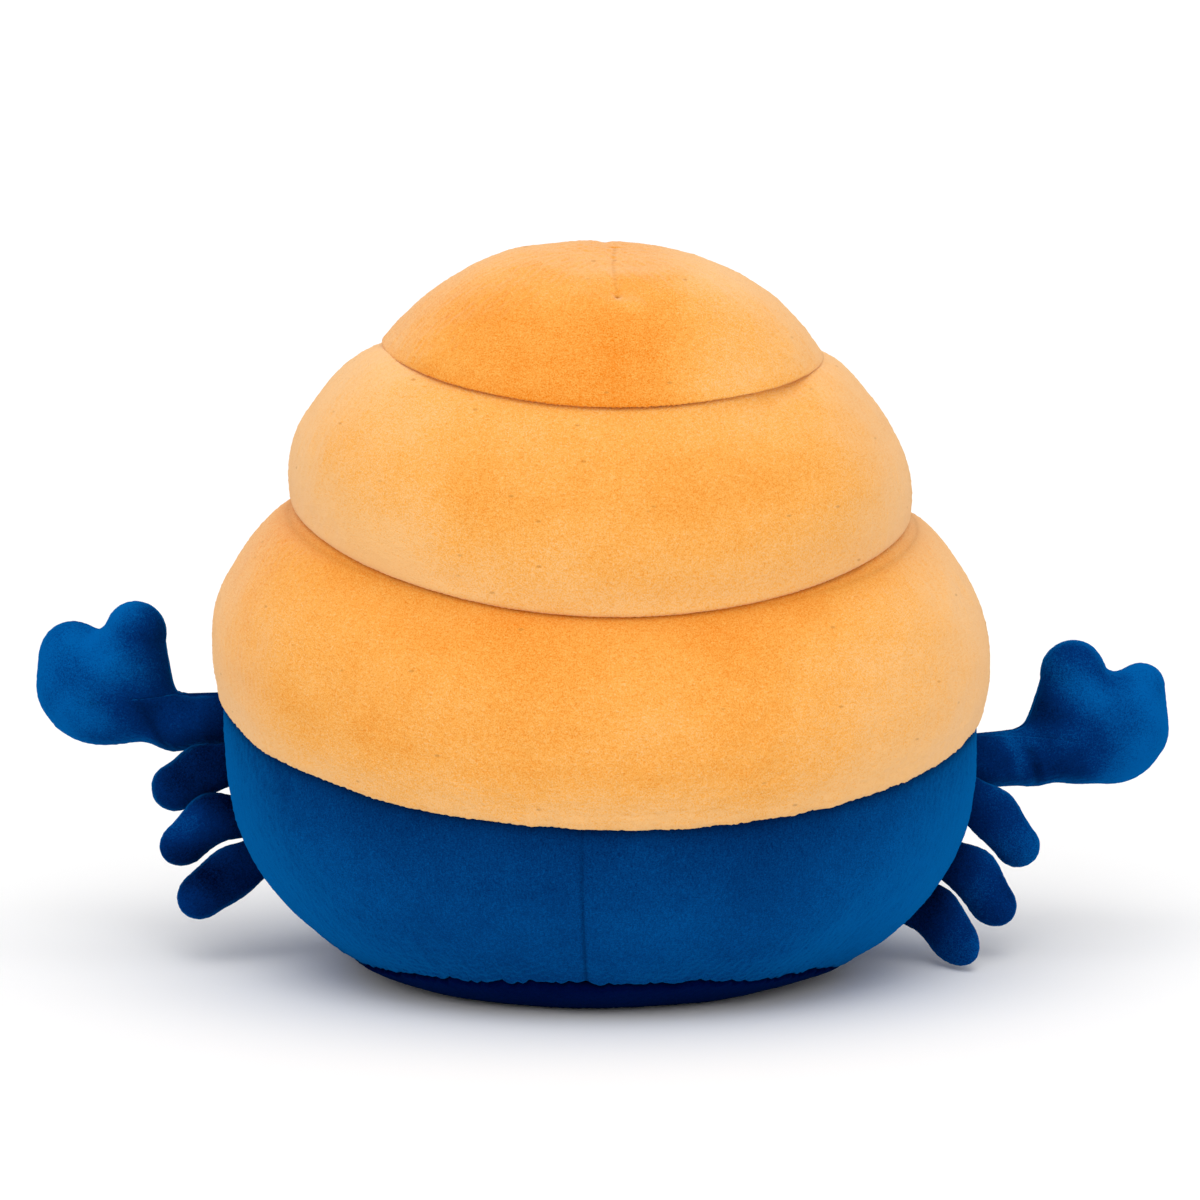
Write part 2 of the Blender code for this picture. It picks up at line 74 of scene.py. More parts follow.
# How the stack settles
BODY_TIP = math.radians(9.2)
CAP_TIP = math.radians(7.2)
CAP_TIP_HEIGHT = 0.1312
SIDE_TIP = math.radians(1.45)
SIDE_TIP_HEIGHT = 0.0300
SIDE_LIFT_PER_METRE = 1.60
SIDE_LIFT_START_HEIGHT = 0.0450
SIDE_LIFT_FULL_HEIGHT = 0.1150
STACK_LEAN = 0.0100
SHELL_LEAN = 0.0003
CAP_LEAN = 0.0009
RIGHT_SLACK = 0.34
LEFT_SLACK = 0.14
SLACK_HEIGHTS = (0.118, 0.140, 0.160, 0.176)

# Sewing
SEAM_GAP = 0.0003
SEAM_DEPTH = 0.0015
SIDE_SEAM_ANGLE = math.radians(6.0)
BACK = math.radians(-90.0)
FRONT = math.radians(90.0)
BACK_SEAM_TURN = math.radians(-2.6)
MIDDLE_LIP = 0.0022
CAP_LIP = 0.0008

# Claws and legs. Each round part is (out, up, radius). A root is how far out from the palm's middle
# the finger or thumb starts, and its radius there. folds are (out, slope, depth, half-width, end) of
# creases across the arm, and tone_and_shade is (out, value) stops: how deep or pale the limb is, deep in
# painted shade near the root and wrist, and paler in painted light further out.
CLAW_SEAM_ANGLE = math.radians(15.0)
LEFT_CLAW = {
    "height": 0.0511,
    "arm_up": 0.0041,
    "wrist": (0.0195, 0.0029, 0.0066),
    "palm": (0.0421, 0.0141, 0.0116),
    "finger": (0.0275, 0.0278, 0.0083),
    "finger_root": (-0.0094, 0.0149),
    "thumb": (0.0465, 0.0225, 0.0096),
    "thumb_root": (-0.0022, 0.0157),
    "folds": ((0.0215, 0.30, 0.0003, 0.0016, 0.012),),
    "tone_and_shade": ((0.000, -0.90), (0.010, -0.45), (0.022, -0.35), (0.032, 0.20), (0.048, 0.75)),
    "seed": 61,
}
RIGHT_CLAW = {
    "height": 0.0492,
    "arm_up": -0.0022,
    "wrist": (0.0225, 0.0021, 0.0074),
    "palm": (0.0400, 0.0107, 0.0147),
    "finger": (0.0303, 0.0248, 0.0089),
    "finger_root": (-0.0063, 0.0142),
    "thumb": (0.0508, 0.0224, 0.0067),
    "thumb_root": (0.0139, 0.0055),
    "folds": ((0.0202, -0.45, 0.0009, 0.0015, 0.006),),
    "tone_and_shade": ((0.000, -0.25), (0.010, -0.15), (0.022, -0.45), (0.032, -0.10), (0.048, 0.85)),
    "seed": 71,
}
PALM_HALF_STRETCH = 0.0040

# Legs, upper one first: angle and height where each is sewn in, how far out and up the middle of its
# round tip lies, how far it bows up, backward sweep of the tip, and radius of the tip
LEFT_LEGS = {
    "front": (math.radians(9.4), 0.0464, 0.0176, -0.0046, 0.0017, 0.0005, 0.0064),
    "middle": (math.radians(5.8), 0.0340, 0.0172, -0.0003, 0.0035, 0.0075, 0.0057),
    "rear": (math.radians(3.0), 0.0255, 0.0182, -0.0016, 0.0004, 0.0080, 0.0060),
}
RIGHT_LEGS = {
    "front": (math.radians(9.5), 0.0437, 0.0180, -0.0110, 0.0015, 0.0030, 0.0057),
    "middle": (math.radians(6.0), 0.0284, 0.0168, -0.0049, 0.0024, 0.0070, 0.0057),
    "rear": (math.radians(3.0), 0.0159, 0.0119, 0.0018, 0.0024, 0.0180, 0.0059),
}
LEG_RADIUS = 0.0050
LIMB_FLATNESS = 0.78
CLAW_BLEND = 0.0015
LEG_BLEND = 0.0020
ROOT_PINCH = 0.30
ROOT_PINCH_LENGTH = 0.0090
LIMB_EDGE = 0.0004
LIMB_STUB = 0.0060
LIMB_REACH = 0.0800

# Face
EYE_HALF_WIDTH = 0.0055
EYE_HALF_HEIGHT = 0.0070
EYE_SPACING = 0.0560
EYE_HEIGHT = 0.0430
THREAD_THICKNESS = 0.0012
MOUTH_HALF_WIDTH = 0.0085
MOUTH_DROP = 0.0045
MOUTH_HEIGHT = 0.0375
MOUTH_THREAD_RADIUS = 0.0009
STITCH_PITCH = 0.0006

# Fabric: how far the pile and the filling move the surface
DENT_DEPTH = 0.00030
DENT_SIZE = 0.042
LUMP_DEPTH = 0.00006
LUMP_SIZE = 0.009
PILE_DEPTH = 0.00006
PILE_SIZE = 0.0016
TUCK_RADIUS = 0.0034
PUCKER_PITCH = 0.0042
PUCKER_DEPTH = 0.00022
PUCKER_REACH = 0.0050
TUFT_PITCH = 0.0031
TUFT_LENGTH = 0.0014
CREASE_SHADE_REACH = 0.0008
VALLEY_REACH = 0.0034
MIDDLE_VALLEY = 0.0004
CAP_VALLEY = 0.0012
TIER_GAP = 0.0001
FRINGE = 0.0011
LIP_REACH = 0.0009
CALM_REACH = 0.0030

# Seams that run up a roll: (depth, half-width) of two grooves, half-width of the line of painted shade
# in the groove, and how dark that painted shade is
SEAM_GROOVES = ((0.0005, 0.0011), (0.0004, 0.0032))
SEAM_LINE = 0.00045
BODY_SEAM_SHADE = 0.50
SHELL_SEAM_SHADE = 0.4

# The cap's dart and the gathered hole at its end: (depth, half-width), and the pucker beside the hole
DART_GROOVE = (0.00030, 0.0011)
DART_STITCH = 0.0018
HOLE = (0.0010, 0.0009)
HOLE_DIP = (0.0006, 0.006)
GATHER_PLACE = (0.0030, 0.0032)
GATHER = (0.0006, 0.0022)

# The filling presses on each cover. Cloth is steadier at the size of a cushion, so the simulated copy
# is larger than the toy. Rows and columns of the copies, and how far a point may move in the end.
COVER_SCALE = 4.0
COVER_PRESSURE = 40.0
COVER_TENSION = 5.0
COVER_FRAMES = 20
COVER_CAP = 0.0007
ROLL_COVER = (18, 120)
LIMB_COVER = (14, 60)

# Columns round the stack and rows up each piece
ROLL_GRIDS = {
    "base_panel": (720, 44),
    "body": (840, 106),
    "shell_lower_tier": (840, 104),
    "shell_middle_tier": (720, 96),
    "shell_cap": (600, 104),
}
BACK_CROWDING = 0.35
CLAW_GRID = (360, 40)
LEG_GRID = (200, 26)

# How deep (-1) or pale (1) the colour is: the brushed pile together with painted shade and light. Each
# roll: stops from its lower to its upper seam, as shares of the way up, and the value there, darker in
# painted shade under an overhanging lip and paler on the lips in painted light. Sides: painted light,
# (amount, start, end) to the right and to the left.
BODY_NAP_AND_SHADE = ((0.0, 0.10, 0.45, 0.80, 1.0), (0.0, 0.10, 0.15, -0.20, -0.55))
LOWER_NAP_AND_SHADE = ((0.0, 0.12, 0.25, 0.60, 0.86, 1.0), (0.95, 0.45, 0.05, -0.10, -0.35, -0.60))
MIDDLE_NAP_AND_SHADE = ((0.0, 0.10, 0.30, 0.50, 0.85, 1.0), (0.75, 0.50, 0.05, -0.20, 0.15, 0.10))
CAP_NAP_AND_SHADE = ((0.0, 0.02, 0.06, 0.30, 0.50, 0.90, 1.0), (-1.1, -0.80, -0.55, -0.60, -0.05, -0.30, -0.60))
BODY_SIDE_LIGHT = ((0.80, 0.035, 0.085), (0.40, 0.035, 0.090))
SHELL_SIDE_LIGHT = ((0.75, 0.030, 0.090), (0.22, 0.040, 0.090))
MIDDLE_SIDE_LIGHT = ((0.0, 0.028, 0.056), (0.70, 0.028, 0.056))
CAP_SIDE_LIGHT = ((0.90, 0.010, 0.034), (0.30, 0.022, 0.048))
SHELL_DEEPER = 0.08
# Legs: (out, value) stops along each leg, deep in painted shade where it meets the body
LEFT_LEG_SHADING = ((0.000, -1.00), (0.008, -0.75), (0.024, -0.35))
RIGHT_LEG_SHADING = ((0.000, -0.80), (0.008, -0.35), (0.024, 0.25))
# Painted light and shade on the limbs: paler per metre above a height, a painted highlight on the ridge
# beside each fold, and how far the painted shade at the root reaches
FINGER_TOP_LIGHT = 24.0
FINGER_TOP_LIGHT_HEIGHT = 0.014
RIDGE_HIGHLIGHT = 600.0
ROOT_SHADE_REACH = 0.0035

# Colours of the plush, as linear light: deep, usual and pale, which the brushed pile and painted shade
# and light choose between, and the painted sheen along the outline
ORANGE = ((0.780, 0.195, 0.005), (0.880, 0.395, 0.078), (0.890, 0.505, 0.205), (0.900, 0.570, 0.310))
BLUE = ((0.0003, 0.0040, 0.045), (0.0008, 0.0460, 0.190), (0.0008, 0.0900, 0.320), (0.0008, 0.120, 0.380))
# The limbs' deep blue is darker than the body's, for the painted shade at their roots
LIMB_BLUE = ((0.0002, 0.001, 0.012), (0.0006, 0.026, 0.145), (0.0006, 0.095, 0.340), (0.0006, 0.115, 0.380))
# The base panel's blue is a darker copy of the body's: painted shade of the underside
SHADED_BASE_BLUE = ((0.0001, 0.001, 0.020), (0.0003, 0.004, 0.050), (0.0005, 0.009, 0.060), (0.0006, 0.015, 0.090))
THREAD = (0.010, 0.010, 0.012)

# Each pile: colours, how its grain is stretched on the fabric, mottle, grain, specks, share of the painted
# sheen along the outline
PILES = {
    "orange_pile": (ORANGE, (500.0, 1500.0, 1.0), 1.2, 1.35, 1.0, 0.70),
    "blue_pile": (BLUE, (1500.0, 450.0, 1.0), 0.9, 1.0, 0.0, 0.80),
    "shaded_base_pile": (SHADED_BASE_BLUE, (1500.0, 450.0, 1.0), 1.0, 1.0, 0.0, 0.60),
    "limb_pile": (LIMB_BLUE, (1100.0, 1100.0, 1.0), 1.8, 0.75, 0.0, 0.70),
}
PILE_FINISH = {"Roughness": 0.92, "Specular IOR Level": 0.0, "Sheen Weight": 0.20, "Sheen Roughness": 0.45}
THREAD_FINISH = {"Roughness": 0.42, "Sheen Weight": 0.2}

# Noise in the pile: (scale, detail, roughness)
FIBRES = (1.0, 3.0, 0.6)
GRAIN = (1700.0, 2.0, 0.65)
BRUSHED = (34.0, 3.0, 0.55)
STROKES = (150.0, 2.0, 0.5)
FINE = (2900.0, 1.0, 0.6)
TWIST = (2600.0, 2.0, 0.5)
SPECK_STRETCH = (0.5, 0.5, 1.1)
SPECK_SCALE = 170.0

# Studio. Lights are (name, elevation, azimuth, strength). Azimuth 0 is behind the camera, 90 its right.
LIGHTS = (
    ("key_light", 48.0, -25.0, 0.95),
    ("fill_light", 35.0, 40.0, 0.45),
    ("top_light", 85.0, 0.0, 0.95),
)
LIGHT_SPREAD = math.radians(70.0)
FLOOR_GREY = 0.92
FLOOR_ROUGHNESS = 0.9
FLOOR_SIZE = 40.0
SKY_STRENGTH = 0.55

# Camera
CAMERA_ELEVATION = math.radians(8.0)
CAMERA_DISTANCE = 1.3
CAMERA_TARGET_HEIGHT = 0.0958
CAMERA_LENS = 150.0


# Shape rules, as in the part's source


def ramp(value, start, end):
    """0 up to start, 1 from end on, and a smooth rise between them."""
    share = np.clip((value - start) / (end - start), 0.0, 1.0)
    return share * share * (3.0 - 2.0 * share)


def slump(x, y, height):
    """Where points of the upright stack lie once the toy has settled."""
    tip = BODY_TIP * ramp(height, 0.0, SHELL_SEAM_HEIGHT)
    tip = tip - (BODY_TIP - CAP_TIP) * ramp(height, SHELL_SEAM_HEIGHT, CAP_TIP_HEIGHT)
    side = math.tan(SIDE_TIP) * ramp(height, 0.0, SIDE_TIP_HEIGHT)
    rise = (height - SIDE_LIFT_START_HEIGHT) / (SIDE_LIFT_FULL_HEIGHT - SIDE_LIFT_START_HEIGHT)
    lift = SIDE_LIFT_PER_METRE * np.clip(rise, 0.0, 1.0)
    low, high, end, top = SLACK_HEIGHTS
    slack = ramp(height, low, high) * (1.0 - ramp(height, end, top))
    slack = slack * np.where(x > 0.0, RIGHT_SLACK, LEFT_SLACK)
    lift = lift * (1.0 - slack * ramp(np.abs(x), 0.010, 0.050))
    back = STACK_LEAN * ramp(height, 0.0, CAP_TOP_HEIGHT)
    right = SHELL_LEAN * ramp(height, BODY_WIDEST_HEIGHT, LOWER_WIDEST_HEIGHT)
    right = right + CAP_LEAN * ramp(height, CAP_TIP_HEIGHT, CAP_TOP_HEIGHT)
    return np.stack([x + right, y - back, height + y * np.tan(tip) - x * side + lift * x * x], -1)


def bowl_swell(height):
    """How far the body has swelled out at a height: 0 at its foot, 1 at its widest and above."""
    fall = np.maximum(0.0, BODY_WIDEST_HEIGHT - height) / BODY_WIDEST_HEIGHT
    return np.sqrt(np.maximum(0.0, 1.0 - fall * fall))


def bowl(height):
    """Half-width of the body at a height."""
    return BASE_HALF_WIDTH + (BODY_HALF_WIDTH - BASE_HALF_WIDTH) * bowl_swell(height)


def depth_ratio(height):
    """Half-depth of a ring per half-width."""
    return (BASE_HALF_DEPTH + (BODY_HALF_DEPTH - BASE_HALF_DEPTH) * bowl_swell(height)) / bowl(height)


def base_seam(angle):
    """Height of the base seam, which dips at the sides."""
    rounded = 0.2
    share = (np.hypot(np.sin(angle), rounded) - rounded) / (math.hypot(1.0, rounded) - rounded)
    return BASE_SEAM_HEIGHT_AT_SIDE + (BASE_SEAM_HEIGHT_AT_BACK - BASE_SEAM_HEIGHT_AT_SIDE) * share


def bezier(start, handle_a, handle_b, end, steps=60):
    """Points (half-width, height) along a cubic curve."""
    t = np.linspace(0.0, 1.0, steps + 1)[:, None]
    weights = ((1 - t) ** 3, 3 * t * (1 - t) ** 2, 3 * t * t * (1 - t), t**3)
    return sum(w * np.array(k) for w, k in zip(weights, (start, handle_a, handle_b, end)))


def valley(curve, half_width, depth):
    """A shoulder that dips where the edge of the next roll presses on it."""
    dip = depth * bell(curve[:, 0] - half_width, VALLEY_REACH)
    return curve - np.stack([0.0 * dip, dip], -1)


def shoulder(start, end, handle_a, handle_b, pressed, depth):
    """The top of a roll, from its widest level in to the next seam. The handles are shares of its
    rise and reach, and pressed is the half-width where the edge of the next roll dips it."""
    start, end = np.array(start), np.array(end)
    reach, rise = start[0] - end[0], end[1] - start[1]
    inner = end + (handle_b[0] * reach, handle_b[1] * rise)
    curve = bezier(start, start + (0.0, handle_a * rise), inner, end)
    return valley(curve, pressed, depth)


def lower_shoulder():
    """The top of the lower tier, in to the middle seam."""
    start, end = (LOWER_HALF_WIDTH, LOWER_WIDEST_HEIGHT), (MIDDLE_SEAM_HALF_WIDTH, MIDDLE_SEAM_HEIGHT)
    return shoulder(start, end, 0.38, (0.30, -0.22), MIDDLE_HALF_WIDTH - MIDDLE_LIP, MIDDLE_VALLEY)


def middle_shoulder():
    """The top of the middle tier, in to the cap seam."""
    start, end = (MIDDLE_HALF_WIDTH, MIDDLE_WIDEST_HEIGHT), (CAP_SEAM_HALF_WIDTH, CAP_SEAM_HEIGHT)
    return shoulder(start, end, 0.44, (0.32, -0.15), CAP_HALF_WIDTH - CAP_LIP, CAP_VALLEY)


def rest_on(shoulder, half_width):
    """The underside of a roll that rests on a shoulder, from the seam out to a half-width."""
    widths = np.linspace(shoulder[-1, 0], half_width, 30)
    heights = np.interp(widths, shoulder[::-1, 0], shoulder[::-1, 1])
    return np.stack([widths, heights + TIER_GAP], -1)


# Fabric rules


def waves(points, size, seed, count=12):
    """Smooth noise of about unit height: plane waves about one size long, in seeded directions."""
    rng = np.random.default_rng(seed)
    directions = rng.normal(size=(count, 3))
    directions /= np.linalg.norm(directions, axis=1, keepdims=True)
    lengths = size * rng.uniform(0.7, 1.5, count)
    phases = rng.uniform(0.0, 2.0 * math.pi, count)
    total = np.zeros(points.shape[:-1])
    for direction, length, phase in zip(directions, lengths, phases):
        total += np.sin(points @ direction * (2.0 * math.pi / length) + phase)
    return total * math.sqrt(2.0 / count)


def softness(points, seed):
    """Dents and lumps of the filling and the unevenness of the pile, along the normal, in metres."""
    dents = DENT_DEPTH * waves(points, DENT_SIZE, seed)
    lumps = LUMP_DEPTH * waves(points, LUMP_SIZE, seed + 1)
    pile = PILE_DEPTH * waves(points, PILE_SIZE, seed + 2, 16)
    return dents + lumps + pile


def tuck(distance, depth, radius=TUCK_RADIUS):
    """How far fabric rolls in towards a seam at that distance from it: a quarter round."""
    near = np.clip(1.0 - distance / radius, 0.0, 1.0)
    return depth * (1.0 - np.sqrt(1.0 - near * near))


def bell(distance, width):
    """1 on a line, fading to nothing at about twice the width from it."""
    return np.exp(-((distance / width) ** 2))


def calm(distance):
    """0 at a line where two rolls touch, 1 away from it."""
    return 1.0 - bell(distance, CALM_REACH)


def scallops(angle, half_width, pitch, seed):
    """Uneven round lobes along a ring, from 0 at the notches to 1 at the middle of a lobe. Their
    number is whole, so that the ring closes."""
    rng = np.random.default_rng(seed)
    lobes = round(math.pi * half_width / pitch)
    drift = sum(rng.uniform(0.4, 1.2) * np.sin(k * angle + rng.uniform(0.0, 6.3)) for k in (5, 11, 23, 41))
    swell = np.sin(17 * angle + rng.uniform(0.0, 6.3)) * np.sin(29 * angle + rng.uniform(0.0, 6.3))
    size = 0.65 + 0.35 * swell
    return np.abs(np.sin(lobes * angle + drift)) * size


def grid_normals(points):
    """Outward unit normals of a grid whose columns run round the stack."""
    around = np.roll(points, -1, 1) - np.roll(points, 1, 1)
    normals = np.cross(around, np.gradient(points, axis=0))
    return normals / np.maximum(np.linalg.norm(normals, axis=-1, keepdims=True), 1e-12)


def grid_quads(rows, columns):
    """The number of each point of such a grid, that of the next one round, and the quads."""
    number = np.arange(rows * columns).reshape(rows, columns)
    after = np.roll(number, -1, 1)
    quads = np.stack([number[:-1], after[:-1], after[1:], number[1:]], -1).reshape(-1, 4)
    return number, after, quads


def spline_weights(places, count, closed):
    """Cubic B-spline weights of evenly spaced stops 0 to count - 1, one row for each place."""
    off = np.abs(places[:, None] - np.arange(count)[None])
    if closed:
        off = np.minimum(off, count - off)
    near, far = 2.0 / 3.0 - off**2 + 0.5 * off**3, (2.0 - off) ** 3 / 6.0
    weights = np.where(off < 1.0, near, np.where(off < 2.0, far, 0.0))
    return weights / weights.sum(1, keepdims=True)


def simulated_cover(points, held):
    """Blender's cloth on a closed grid that is pressed from inside and held at some of its rows.
    The points' places after the last frame."""
    number, _, quads = grid_quads(*points.shape[:2])
    mesh = bpy.data.meshes.new("cover")
    mesh.from_pydata(points.reshape(-1, 3).tolist(), [], quads.tolist() + [number[0, ::-1], number[-1]])
    item = bpy.data.objects.new("cover", mesh)
    bpy.context.scene.collection.objects.link(item)
    item.vertex_groups.new(name="sewn").add(number[held].ravel().tolist(), 1.0, "REPLACE")
    cloth = item.modifiers.new("cover", "CLOTH")
    cloth.settings.vertex_group_mass = "sewn"
    cloth.settings.tension_stiffness = COVER_TENSION
    cloth.settings.compression_stiffness = COVER_TENSION
    cloth.settings.use_pressure = True
    cloth.settings.uniform_pressure_force = COVER_PRESSURE
    cloth.settings.effector_weights.gravity = 0.0
    cloth.point_cache.frame_start, cloth.point_cache.frame_end = 1, COVER_FRAMES
    for step in range(1, COVER_FRAMES + 1):
        bpy.context.scene.frame_set(step)
    moved = np.zeros(points.size)
    item.evaluated_get(bpy.context.evaluated_depsgraph_get()).data.vertices.foreach_get("co", moved)
    bpy.data.objects.remove(item)
    bpy.data.meshes.remove(mesh)
    bpy.context.scene.frame_set(1)
    return moved.reshape(points.shape)


def stuffing(points, held, size):
    """How far the filling swells a cover between its sewn rows, along the normal, in metres. A coarse
    copy of the grid is simulated as cloth. The mean is taken out, because the grid already has the
    girth of the stuffed toy, and the rest is spread over the grid by a smooth spline."""
    rows, columns = points.shape[:2]
    even = np.linspace(0, rows - 1, size[0]).round().astype(int)
    row_stops = np.unique(np.append(even, (held[0], held[-1])))
    column_stops = np.linspace(0, columns, size[1], endpoint=False).round().astype(int)
    coarse = points[row_stops][:, column_stops]
    sewn = np.isin(row_stops, held)
    moved = simulated_cover(coarse * COVER_SCALE, sewn) / COVER_SCALE
    swell = ((moved - coarse) * grid_normals(coarse)).sum(-1)
    swell = np.where(sewn[:, None], 0.0, swell - swell[~sewn].mean())
    swell = COVER_CAP * np.tanh(swell / COVER_CAP)
    places = np.interp(np.arange(rows), row_stops, np.arange(len(row_stops)))
    up = spline_weights(places, len(row_stops), False)
    places = np.interp(np.arange(columns), np.append(column_stops, columns), np.arange(size[1] + 1))
    return up @ swell @ spline_weights(places, size[1], True).T


# Materials


def set_inputs(tree, item, **inputs):
    """A node with its inputs set: each to a value, or linked from a socket."""
    for key, value in inputs.items():
        number = key[0] == "i" and key[1:].isdigit()
        socket = item.inputs[int(key[1:]) if number else key.replace("_", " ")]
        if isinstance(value, bpy.types.NodeSocket):
            tree.links.new(value, socket)
        else:
            socket.default_value = value
    return item


def add_node(tree, kind, **inputs):
    """A new node of a shader tree with its inputs set."""
    return set_inputs(tree, tree.nodes.new(kind), **inputs)


def noise(tree, place, settings):
    """Noise over a place, from its scale, detail and roughness."""
    scale, detail, rough = settings
    item = add_node(tree, "ShaderNodeTexNoise", Vector=place, Scale=scale, Detail=detail, Roughness=rough)
    return item.outputs[0]


def attribute(tree, name):
    """A value that the mesh carries at each point."""
    item = tree.nodes.new("ShaderNodeAttribute")
    item.attribute_name = name
    return item.outputs["Fac"]


def maths(tree, operation, a, b=0.0, c=0.0, clamp=False):
    """A sum, product or the like of sockets or values."""
    item = add_node(tree, "ShaderNodeMath", i0=a, i1=b, i2=c)
    item.operation = operation
    item.use_clamp = clamp
    return item.outputs[0]


def mixed(tree, share, a, b):
    """A blend of two colours."""
    item = tree.nodes.new("ShaderNodeMix")
    item.data_type = "RGBA"
    return set_inputs(tree, item, i0=share, i6=a, i7=b).outputs[2]


def stretched(tree, coordinates, scale):
    """Coordinates stretched by a factor on each axis."""
    return add_node(tree, "ShaderNodeMapping", Vector=coordinates, Scale=scale).outputs[0]


def pile_group():
    """Shared look of short pile. In: four colours, nap with painted shade and light (-1 deep to 1 pale),
    painted shade in creases and seams (0 to 1), and how strong mottle, grain and specks are. Out: the
    colour, the colour of the painted sheen along the outline, and a height for the bump."""
    tree = bpy.data.node_groups.new("plush_pile", "ShaderNodeTree")
    floats = ("Nap", "Crease", "Mottle", "Grain", "Specks")
    for way, kind, names in (
        ("INPUT", "NodeSocketColor", ("Deep", "Usual", "Pale", "Rim")),
        ("INPUT", "NodeSocketFloat", floats),
        ("INPUT", "NodeSocketVector", ("Pile rows",)),
        ("OUTPUT", "NodeSocketColor", ("Color", "Rim color")),
        ("OUTPUT", "NodeSocketFloat", ("Height",)),
    ):
        for name in names:
            tree.interface.new_socket(name, in_out=way, socket_type=kind)
    given = tree.nodes.new("NodeGroupInput").outputs
    place = tree.nodes.new("ShaderNodeTexCoord").outputs["Object"]
    speckle = maths(tree, "ADD", noise(tree, given["Pile rows"], FIBRES), noise(tree, place, GRAIN))
    speckle = maths(tree, "MULTIPLY_ADD", noise(tree, place, FINE), 2.2, speckle)
    speckle = maths(tree, "SUBTRACT", speckle, 2.1)
    patches = maths(tree, "SUBTRACT", noise(tree, place, BRUSHED), 0.5)
    patches = maths(tree, "MULTIPLY", patches, given["Mottle"])
    small = maths(tree, "MULTIPLY", maths(tree, "SUBTRACT", noise(tree, place, STROKES), 0.5), 0.5)
    tone_and_shade = maths(tree, "ADD", maths(tree, "ADD", given["Nap"], patches), small)
    tone_and_shade = maths(tree, "MULTIPLY_ADD", speckle, given["Grain"], tone_and_shade)
    below = maths(tree, "MULTIPLY", tone_and_shade, -0.66, clamp=True)
    above = maths(tree, "MULTIPLY", tone_and_shade, 1.0, clamp=True)
    curls = stretched(tree, place, SPECK_STRETCH)
    cells = add_node(tree, "ShaderNodeTexVoronoi", Vector=curls, Scale=SPECK_SCALE).outputs["Distance"]
    specks = add_node(tree, "ShaderNodeMapRange", i0=cells, i1=0.080, i2=0.035, i3=0.0, i4=0.34)
    specks = maths(tree, "MULTIPLY", specks.outputs[0], given["Specks"])
    colour = mixed(tree, above, mixed(tree, below, given["Usual"], given["Deep"]), given["Pale"])
    # The painted shade of creases and seams and the fabric's own specks both darken the colour towards dark
    dark = mixed(tree, 0.60, given["Deep"], (0.0, 0.0, 0.0, 1.0))
    shade_and_specks = maths(tree, "MULTIPLY", given["Crease"], 0.9, clamp=True)
    shade_and_specks = maths(tree, "MAXIMUM", shade_and_specks, specks)
    sheen_rim = mixed(tree, maths(tree, "MULTIPLY", below, 0.5), given["Rim"], given["Deep"])
    colour, sheen_rim = mixed(tree, shade_and_specks, colour, dark), mixed(tree, shade_and_specks, sheen_rim, dark)
    add_node(tree, "NodeGroupOutput", Color=colour, Rim_color=sheen_rim, Height=speckle)
    return tree


def plush(name):
    """Short pile, as PILES says for that name."""
    colours, rows, mottle, grain, specks, sheen_share = PILES[name]
    deep, usual, pale, edge = ((*colour, 1.0) for colour in colours)
    material = bpy.data.materials.new(name)
    material.use_nodes = True
    tree = material.node_tree
    group = tree.nodes.new("ShaderNodeGroup")
    group.node_tree = bpy.data.node_groups.get("plush_pile") or pile_group()
    set_inputs(tree, group, Deep=deep, Usual=usual, Pale=pale, Rim=edge)
    set_inputs(tree, group, Mottle=mottle, Grain=grain, Specks=specks)
    set_inputs(tree, group, Nap=attribute(tree, "nap"), Crease=attribute(tree, "crease"))
    fabric = tree.nodes.new("ShaderNodeUVMap")
    fabric.uv_map = "fabric"
    set_inputs(tree, group, Pile_rows=stretched(tree, fabric.outputs[0], rows))
    # Painted sheen: the colour turns towards the rim colour where the surface is seen at a grazing angle
    facing = add_node(tree, "ShaderNodeLayerWeight", Blend=0.5).outputs["Facing"]
    sheen_rim = add_node(tree, "ShaderNodeMapRange", i0=facing, i1=0.30, i2=0.92, i3=0.0, i4=sheen_share)
    sheen_rim.interpolation_type = "SMOOTHSTEP"
    colour = mixed(tree, sheen_rim.outputs[0], group.outputs["Color"], group.outputs["Rim color"])
    bump = add_node(tree, "ShaderNodeBump", Strength=0.35, Distance=0.0004, Height=group.outputs["Height"])
    shader = set_inputs(tree, tree.nodes["Principled BSDF"], Sheen_Tint=edge, **PILE_FINISH)
    set_inputs(tree, shader, Base_Color=colour, Normal=bump.outputs[0])
    return material


def satin(name, colour):
    """Embroidery thread: a satin surface whose stitches are in the mesh, with a fine twist."""
    material = bpy.data.materials.new(name)
    material.use_nodes = True
    tree = material.node_tree
    place = tree.nodes.new("ShaderNodeTexCoord").outputs["Object"]
    twist = noise(tree, place, TWIST)
    bump = add_node(tree, "ShaderNodeBump", Strength=0.3, Distance=0.0002, Height=twist)
    shader = set_inputs(tree, tree.nodes["Principled BSDF"], **THREAD_FINISH)
    set_inputs(tree, shader, Base_Color=(*colour, 1.0), Normal=bump.outputs[0])
    return material


# Mesh builders


def add_piece(name, points, faces, fabric, nap, crease, material):
    """A smooth mesh object from whole arrays. fabric holds each face corner's place on the cloth."""
    mesh = bpy.data.meshes.new(name)
    mesh.from_pydata(points.tolist(), [], faces)
    mesh.uv_layers.new(name="fabric").data.foreach_set("uv", fabric.astype(np.float32).ravel())
    for label, values in (("nap", nap), ("crease", crease)):
        attribute = mesh.attributes.new(label, "FLOAT", "POINT")
        attribute.data.foreach_set("value", values.astype(np.float32).ravel())
    mesh.shade_smooth()
    mesh.materials.append(material)
    item = bpy.data.objects.new(name, mesh)
    bpy.context.scene.collection.objects.link(item)
    return item


